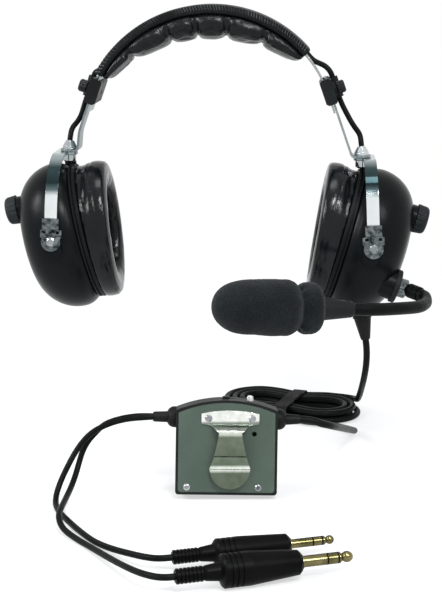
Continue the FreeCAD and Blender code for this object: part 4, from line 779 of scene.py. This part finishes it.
finishOf = {
    "spring steel": ["headband_spring"],
    "arm steel left painted light": ["left_arm_strip"],
    "arm steel right painted shade": ["right_arm_strip"],
    "cable": ["crossover_cable", "left_arm_cable", "right_arm_cable", "left_dome_lead",
              "right_dome_lead", "down_lead", "cord_hank", "module_lead", "phones_cord", "mic_cord"],
    "bracket": ["slide_brackets"],
    "thumb screw": ["clamp_screws"],
    "chrome": ["left_yoke_stud", "right_yoke_stud"],
    "stirrup": ["left_stirrup", "right_stirrup"],
    "clip chrome": ["left_pivot_clips", "right_pivot_clips", "boom_swivel"],
    "screw": ["left_pivot_screws", "right_pivot_screws", "module_screws"],
    "dome": ["left_dome", "right_dome"],
    "baffle": ["left_baffle", "right_baffle"],
    "seal vinyl": ["left_ear_seal", "right_ear_seal"],
    "liner": ["left_foam_liner", "right_foam_liner"],
    "speaker": ["left_speaker", "right_speaker"],
    "can": ["left_volume_pot", "right_volume_pot", "mic_capsule"],
    "knob": ["left_volume_knob", "right_volume_knob"],
    "mic plastic": ["boom_mount", "mic_housing"],
    "boom": ["boom_tube"],
    "foam": ["windscreen"],
    "boot": ["strain_relief", "module_glands"],
    "strap": ["hank_tie"],
    "shell": ["module_shell"],
    "module paint": ["module_cover"],
    "belt clip": ["belt_clip"],
    "board": ["circuit_board"],
    "cell": ["batteries"],
    "switch": ["power_switch"],
    "plug grip": ["phones_plug_body", "mic_plug_body"],
    "gold": ["phones_plug_contacts", "mic_plug_contacts"],
    "cover leather": ["head_pad_cover"],
    "cushion leather": ["head_pad_cushion"],
}
for finish, names in finishOf.items():
    for name in names:
        for place in nodes[name].material_slots:
            place.material = finishes[finish]
for piece in (earCord, *thinCords.values()):
    piece.data.materials.append(finishes["cable"])
print("finishes on", sum(len(names) for names in finishOf.values()), "of", len(nodes), "nodes")


# head pad: sewn cushion, cover and its whip stitches
pad = {
    "centre": (-0.0035, 0.0662), "coverRadius": 0.0870, "from": -57.0, "to": 48.5, "width": 0.0400,
    "seams": (-57.0, -44.0, -22.0, -7.5, 8.5, 28.0, 48.5), "heldAbove": 0.0800, "heldHalf": 0.9,
    "stretchFrom": -46.0, "stretch": 1.30,
}
cushion = {
    "voxel": 0.0016, "pressure": 5.0, "mass": 0.02, "stiff": 12.0, "bend": 0.02,
    "slack": -0.02, "frames": 16, "mostMove": 0.0010, "groove": 0.0008, "grooveWide": 1.1,
    "bulge": 0.0023, "inner": 0.0665, "outer": 0.0806, "grooveBelow": 0.0795,
    "frontGroove": 1.2, "flat": 0.010, "fullFrom": 0.016,
}
padMiddle = Vector((pad["centre"][0], 0, pad["centre"][1]))


def padAngle(co):
    return math.degrees(math.atan2(co.x - pad["centre"][0], co.z - pad["centre"][1]))


def padReach(co):
    return math.hypot(co.x - pad["centre"][0], co.z - pad["centre"][1])


def padPoint(degrees, radius, y):
    angle = math.radians(degrees)
    return Vector((pad["centre"][0] + radius * math.sin(angle), y,
                   pad["centre"][1] + radius * math.cos(angle)))


def stretchEnd(vert):
    # the pad's right-hand end reaches further down the spring than its left one
    angle, reach = padAngle(vert.co), padReach(vert.co)
    if angle < pad["stretchFrom"]:
        angle = pad["stretchFrom"] + (angle - pad["stretchFrom"]) * pad["stretch"]
        vert.co = padPoint(angle, reach, vert.co.y)


def heldSeam(co):
    angle = padAngle(co)
    aside = min(abs(angle - seam) for seam in pad["seams"])
    return aside < pad["heldHalf"] or padReach(co) > pad["heldAbove"]


puff = softCopy("head_pad_cushion", "pad_cushion", cushion["voxel"])
puffUp(puff, cushion, heldSeam)
modify(puff, "SUBSURF", levels=1, render_levels=1)
for vert in puff.data.vertices:
    # each pillow bellies out front and back, and the sewn channels between have a sharp foot
    co = vert.co
    angle, reach = padAngle(co), padReach(co)
    low = max(seam for seam in pad["seams"][:-1] if seam <= max(angle, pad["from"]))
    high = pad["seams"][pad["seams"].index(low) + 1]
    along = portion(angle, low, high)
    up = portion(reach, cushion["outer"], cushion["inner"])
    off = min(abs(angle - seam) for seam in pad["seams"][1:-1])
    pull = cushion["groove"] * math.exp(-((off / cushion["grooveWide"]) ** 2))
    if reach < cushion["grooveBelow"]:
        vert.co += (Vector((co.x, 0, co.z)) - padMiddle).normalized() * pull
    if abs(co.y) > cushion["flat"]:
        belly = (1 - abs(2 * along - 1) ** 3.5) * math.sin(math.pi * up) ** 0.8
        out = cushion["bulge"] * belly
        out -= cushion["frontGroove"] * pull * math.sin(math.pi * min(1.0, up + 0.1))
        vert.co.y += math.copysign(out * portion(abs(co.y), cushion["flat"], cushion["fullFrom"]), co.y)
for vert in puff.data.vertices:
    stretchEnd(vert)
smooth(puff, 60)
puff.data.materials.append(finishes["cushion leather"])
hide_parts("head_pad_cushion")
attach(puff, "headband")
print("cushion done", len(puff.data.polygons))

cover = {
    "steps": 96, "thick": 0.0059, "round": 0.0017, "pucker": 0.00022, "pitch": 1.28,
    "rimFrom": 0.82, "crownFrom": 0.2308, "rollFrom": 0.9, "rollTop": 0.7, "puckerFrom": 0.75,
    "channelAt": (-53.9, 0.0865), "channelRise": 0.00034, "channel": (0.0115, 0.0095),
}
bpy.ops.mesh.primitive_grid_add(
    x_subdivisions=14, y_subdivisions=4, size=1, location=(0, 0, 0))
skin = named("pad_cover")
skin.scale = (pad["width"], cover["thick"], 1)
settle(skin)
for vert in skin.data.vertices:
    # the section stands at the right-hand end: its width runs front to back
    wide, deep = vert.co.x, vert.co.y
    vert.co = padPoint(pad["from"], pad["coverRadius"] - cover["thick"] / 2 + deep, wide)
editAll(skin)
bpy.ops.mesh.spin(
    steps=cover["steps"], dupli=False, angle=math.radians(pad["from"] - pad["to"]),
    center=padMiddle, axis=(0, 1, 0))
editDone()
cleanUp(skin)
for vert in skin.data.vertices:
    # rounded rims, a crowned top and a pucker under every stitch
    co = vert.co
    angle, reach = padAngle(co), padReach(co)
    edge = abs(co.y) / (pad["width"] / 2)
    top = (reach - (pad["coverRadius"] - cover["thick"])) / cover["thick"]
    drop = cover["round"] * portion(edge, cover["rimFrom"]) ** 2 * portion(top, cover["crownFrom"])
    wave = math.cos(math.tau * angle / cover["pitch"])
    drop += cover["pucker"] * (1 + wave) * portion(edge, cover["puckerFrom"]) * max(0.0, top)
    inward = cover["round"] * 0.6 * portion(top, cover["rollTop"]) ** 2
    inward *= portion(edge, cover["rollFrom"])
    turn = Vector((math.sin(math.radians(angle)), 0, math.cos(math.radians(angle))))
    vert.co -= turn * drop
    vert.co.y -= math.copysign(inward, co.y)
modify(skin, "SUBSURF", levels=1, render_levels=1)
for vert in skin.data.vertices:
    # the right arm slides up along a shallow channel in the cover's end
    stretchEnd(vert)
    angle, reach = padAngle(vert.co), padReach(vert.co)
    channelFloor = cover["channelAt"][1] + (angle - cover["channelAt"][0]) * cover["channelRise"]
    share = portion(abs(vert.co.y), *cover["channel"])
    if reach > channelFloor:
        vert.co = padPoint(angle, reach - (reach - channelFloor) * share, vert.co.y)
smooth(skin, 50)
skin.data.materials.append(finishes["cover leather"])
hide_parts("head_pad_cover")
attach(skin, "headband")
print("cover done", len(skin.data.polygons))

stitch = {
    "thick": 0.00052, "slant": 0.55, "reach": 0.0026, "down": 0.0036, "pitch": cover["pitch"],
    "first": 0.9, "spare": 1.0, "drift": 0.08, "cuts": 4,
}
finishes["thread"] = cableJacket("waxed_thread", {
    "tones": ((0.006, 0.007, 0.007), (0.085, 0.092, 0.092)), "rough": (0.34, 0.50),
    "peel": 0.00005, "shine": 0.12})
bpy.ops.mesh.primitive_cylinder_add(
    vertices=5, radius=stitch["thick"] / 2, depth=1.0, end_fill_type="TRIFAN", location=(0, 0, 0))
first = named("whip_stitches")
pick(first)
bpy.ops.object.mode_set(mode="EDIT")
bpy.ops.mesh.select_all(action="DESELECT")
mesh = bmesh.from_edit_mesh(first.data)
for edge in mesh.edges:
    edge.select_set(abs(edge.verts[0].co.z - edge.verts[1].co.z) > 0.5)
bmesh.update_edit_mesh(first.data)
bpy.ops.mesh.subdivide(number_cuts=stitch["cuts"])
editDone()
half = pad["width"] / 2
rim = pad["coverRadius"]
hoop = [  # radius, distance from the middle, degrees along: over the rim at a slant
    (rim - 0.0009, half - stitch["reach"], -stitch["slant"]),
    (rim - 0.0003, half - stitch["reach"] * 0.75, -stitch["slant"] * 0.75),
    (rim - 0.0007, half - stitch["reach"] * 0.38, -stitch["slant"] * 0.35),
    (rim - 0.0017, half - 0.0001, stitch["slant"] * 0.1),
    (rim - 0.0027, half + 0.0002, stitch["slant"] * 0.6),
    (rim - stitch["down"], half - 0.0004, stitch["slant"]),
]
for vert in first.data.vertices:
    number = round((vert.co.z + 0.5) * (len(hoop) - 1))
    radius, y, along = hoop[number]
    before, after = hoop[max(0, number - 1)], hoop[min(len(hoop) - 1, number + 1)]
    course = Vector((after[1] - before[1], after[0] - before[0])).normalized()
    lift = vert.co.y
    vert.co = padPoint(along, radius + course.x * lift, y - course.y * lift) + Vector((vert.co.x, 0, 0))
stitches = [first]
count = int((pad["to"] - pad["from"] - stitch["spare"]) / stitch["pitch"])
flip = Matrix.Diagonal((1, -1, 1, 1))
master = first.data.copy()
for number in range(count):
    degrees = pad["from"] + stitch["first"] + number * stitch["pitch"]
    degrees += stitch["drift"] * math.sin(number * 2.4)
    turn = Matrix.Translation(padMiddle) @ Matrix.Rotation(math.radians(degrees), 4, "Y")
    turn = turn @ Matrix.Translation(-padMiddle)
    for side in (1, -1):
        data = master.copy()
        data.transform(turn @ (flip if side < 0 else Matrix()))
        if side < 0:
            data.flip_normals()
        if number == 0 and side == 1:
            first.data = data
            continue
        another = bpy.data.objects.new("stitch", data)
        scene.collection.objects.link(another)
        stitches.append(another)
thread = joined("whip_stitches", stitches)
for vert in thread.data.vertices:
    stretchEnd(vert)
cleanUp(thread, 1e-7)
smooth(thread, 60)
thread.data.materials.append(finishes["thread"])
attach(thread, "headband")
print("whip stitches", count * 2, "faces", len(thread.data.polygons))


# ear seals and liners
seal = {
    "voxel": 0.0019, "pressure": 3.0, "mass": 0.02, "stiff": 15.0, "bend": 0.3,
    "slack": 0.0, "frames": 12, "mostMove": 0.0007,
    "root": -0.0310, "face": -0.0465, "sag": {"left": 0.04, "right": 0.12},
    "seamAt": -0.0405, "seamDeep": 0.0006, "seamHalf": 0.0007, "seamBeyond": 0.040,
    "oval": 0.795, "fold": 0.0003, "foldWithin": 0.036, "heldFrom": 0.0012,
}
liner = {
    "voxel": 0.0017, "pressure": 3.0, "mass": 0.02, "stiff": 12.0, "bend": 0.05,
    "slack": 0.0, "frames": 10, "mostMove": 0.0006, "root": -0.0300,
    "lump": 0.0005, "lumpScale": 90,
}


def makeSeal(side):
    ring = softCopy(side + "_ear_seal", side + "_seal", seal["voxel"])
    ring.data.transform(cupPlace[side].inverted())
    puffUp(ring, seal, lambda co: co.x > seal["root"] - seal["heldFrom"])
    modify(ring, "SUBSURF", levels=1, render_levels=1)
    for vert in ring.data.vertices:
        # a welded seam round the outside, a few soft folds, and the soft face hangs a little
        co = vert.co
        deep = portion(co.x, seal["root"], seal["face"])
        angle = math.atan2(co.y / seal["oval"], co.z)
        around = math.hypot(co.y / seal["oval"], co.z)
        if around > seal["seamBeyond"]:
            weld = math.exp(-(((co.x - seal["seamAt"]) / seal["seamHalf"]) ** 2))
            co.y *= 1 - seal["seamDeep"] * weld / around
            co.z *= 1 - seal["seamDeep"] * weld / around
        fold = math.sin(9 * angle + 1.3) * math.sin(5 * angle) ** 2
        if around < seal["foldWithin"]:
            co.x += seal["fold"] * fold * deep
        co.z -= seal["sag"][side] * max(0.0, seal["root"] - co.x)
    ring.data.transform(cupPlace[side])
    smooth(ring, 60)
    ring.data.materials.append(finishes["seal vinyl"])
    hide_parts(side + "_ear_seal")
    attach(ring, side + "_cup")
    print(side, "seal done", len(ring.data.polygons))


def makeLiner(side):
    disc = softCopy(side + "_foam_liner", side + "_liner", liner["voxel"])
    disc.data.transform(cupPlace[side].inverted())
    puffUp(disc, liner, lambda co: co.x > liner["root"])
    modify(disc, "SUBSURF", levels=1, render_levels=1)
    for vert in disc.data.vertices:
        if vert.co.x < liner["root"]:
            vert.co.x += liner["lump"] * noise.noise(vert.co * liner["lumpScale"])
    disc.data.transform(cupPlace[side])
    smooth(disc, 60)
    disc.data.materials.append(finishes["liner"])
    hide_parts(side + "_foam_liner")
    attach(disc, side + "_cup")
    print(side, "liner done", len(disc.data.polygons))


for side in ("left", "right"):
    makeSeal(side)
    makeLiner(side)


# windscreen foam over the microphone
foam = {
    "root": (0.0676, -0.1072, -0.0266), "tip": (0.0046, -0.1304, -0.0210),
    "voxel": 0.0015, "lump": 0.0005, "pinch": 0.0138, "gather": 0.0005, "gathers": 11,
    "roundFrom": 0.0420, "radius": 0.0166, "blunt": 2.25, "pinchHalf": 0.0035,
    "mouth": 0.0085, "endFrom": 0.045, "lumpScale": 70, "pore": 0.00012, "poreScale": 900,
}
sock = softCopy("windscreen", "foam_sock", foam["voxel"])
root, tip = Vector(foam["root"]), Vector(foam["tip"])
along = (tip - root).normalized()
upward = (Vector((0, 0, 1)) - along * along.z).normalized()
sideways = along.cross(upward)
modify(sock, "SUBSURF", levels=1, render_levels=1)
for vert in sock.data.vertices:
    away = vert.co - root
    far = away.dot(along)
    off = away - along * far
    if far > foam["roundFrom"] and off.length > 0.0001:
        # a blunt, round end
        tall, long = foam["radius"], (tip - root).length - foam["roundFrom"]
        turn = math.atan2((far - foam["roundFrom"]) / long, off.length / tall)
        blunt = 2 / foam["blunt"]
        off = off.normalized() * (tall * math.cos(turn) ** blunt)
        vert.co = root + along * (foam["roundFrom"] + long * math.sin(turn) ** blunt) + off
    if off.length > foam["mouth"] or far > foam["endFrom"]:
        angle = math.atan2(off.dot(sideways), off.dot(upward))
        tuck = math.exp(-(((far - foam["pinch"]) / foam["pinchHalf"]) ** 2))
        pull = foam["gather"] * tuck * (1 + math.sin(foam["gathers"] * angle + 3 * noise.noise(off * 60)))
        lump = foam["lump"] * noise.noise(vert.co * foam["lumpScale"])
        lump += foam["pore"] * noise.noise(vert.co * foam["poreScale"])
        outwards = off.normalized() if off.length > 0.002 else along
        vert.co += outwards * (lump - pull)
smooth(sock, 60)
sock.data.materials.append(finishes["foam"])
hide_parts("windscreen")
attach(sock, "boom")
print("windscreen done", len(sock.data.polygons))


# hank tie: a strap round the waist, its end laid over itself
tie = {
    "width": 0.0100, "thick": 0.0009, "east": 0.0238, "west": 0.0266, "top": -0.1361,
    "corner": 0.0024, "overlap": 0.012,
}


def tieLoop():
    # round the waist of the hank from the top, over the east side, under, up the west side
    low, high = tableHigh + tie["thick"] / 2, tie["top"] + tie["thick"] / 2
    east, west, turn = tie["east"] + tie["thick"] / 2, -tie["west"] - tie["thick"] / 2, tie["corner"]
    course = [(-0.004, high)]
    for x, z, start in ((east, high, 90), (east, low, 0), (west, low, -90), (west, high, -180)):
        cx = x - math.copysign(turn, x)
        cz = z + (turn if z == low else -turn)
        for step in range(5):
            angle = math.radians(start - 22.5 * step)
            course.append((cx + turn * math.cos(angle), cz + turn * math.sin(angle)))
    course += [(-0.010, high), (-0.006, high + tie["thick"] * 0.9)]
    course += [(-0.002, high + tie["thick"] * 1.1), (tie["overlap"], high + tie["thick"] * 1.05)]
    return course


course = tieLoop()
bpy.ops.mesh.primitive_plane_add(size=1, location=(0, 0, 0))
band = named("tie_strap")
editAll(band)
bpy.ops.mesh.subdivide(number_cuts=len(course) - 2)
editDone()
for vert in band.data.vertices:
    number = round((vert.co.x + 0.5) * (len(course) - 1))
    wide = vert.co.y * tie["width"]
    x, z = course[number]
    vert.co = onHank(wide, x, z)
cleanUp(band)
modify(band, "SOLIDIFY", thickness=tie["thick"] * 0.8, offset=0.0)
modify(band, "BEVEL", width=0.00015, segments=1, limit_method="ANGLE")
smooth(band, 40)
band.data.materials.append(finishes["strap"])
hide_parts("hank_tie")
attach(band, "left_cup")
print("tie done", len(band.data.polygons))


# clear lens of the lamp on the module
lens = {"at": (0.0144, 0.010, 0.0590), "radius": 0.00205, "flange": 0.0026, "tall": 0.0016}
clear = Finish("lamp_epoxy", {
    "shader": {"Transmission Weight": 0.75, "IOR": 1.5, "Coat Weight": 0.3}})
clear.colour(clear.tones(clear.cloud(300, 2), (0.3, (0.90, 0.88, 0.88)), (0.7, (0.96, 0.95, 0.95))))
clear.rough(clear.spread(clear.cloud(500, 2), 0.05, 0.12))
bpy.ops.mesh.primitive_uv_sphere_add(segments=24, ring_count=12, radius=lens["radius"], location=(0, 0, 0))
bulb = named("lamp_lens")
editAll(bulb)
bpy.ops.mesh.bisect(plane_co=(0, 0, 0), plane_no=(0, 0, 1), clear_inner=True, use_fill=True)
editDone()
facing(bulb, lambda middle, normal: normal.z < -0.9)
bpy.ops.mesh.extrude_region_move(TRANSFORM_OT_translate={"value": (0, 0, -lens["tall"])})
bpy.ops.mesh.inset(thickness=lens["radius"] - lens["flange"])
editDone()
bulb.data.transform(modulePlace @ Matrix.Translation(lens["at"]))
cleanUp(bulb)
smooth(bulb, 50)
bulb.data.materials.append(clear.done())
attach(bulb, "left_cup")

print("pieces done")
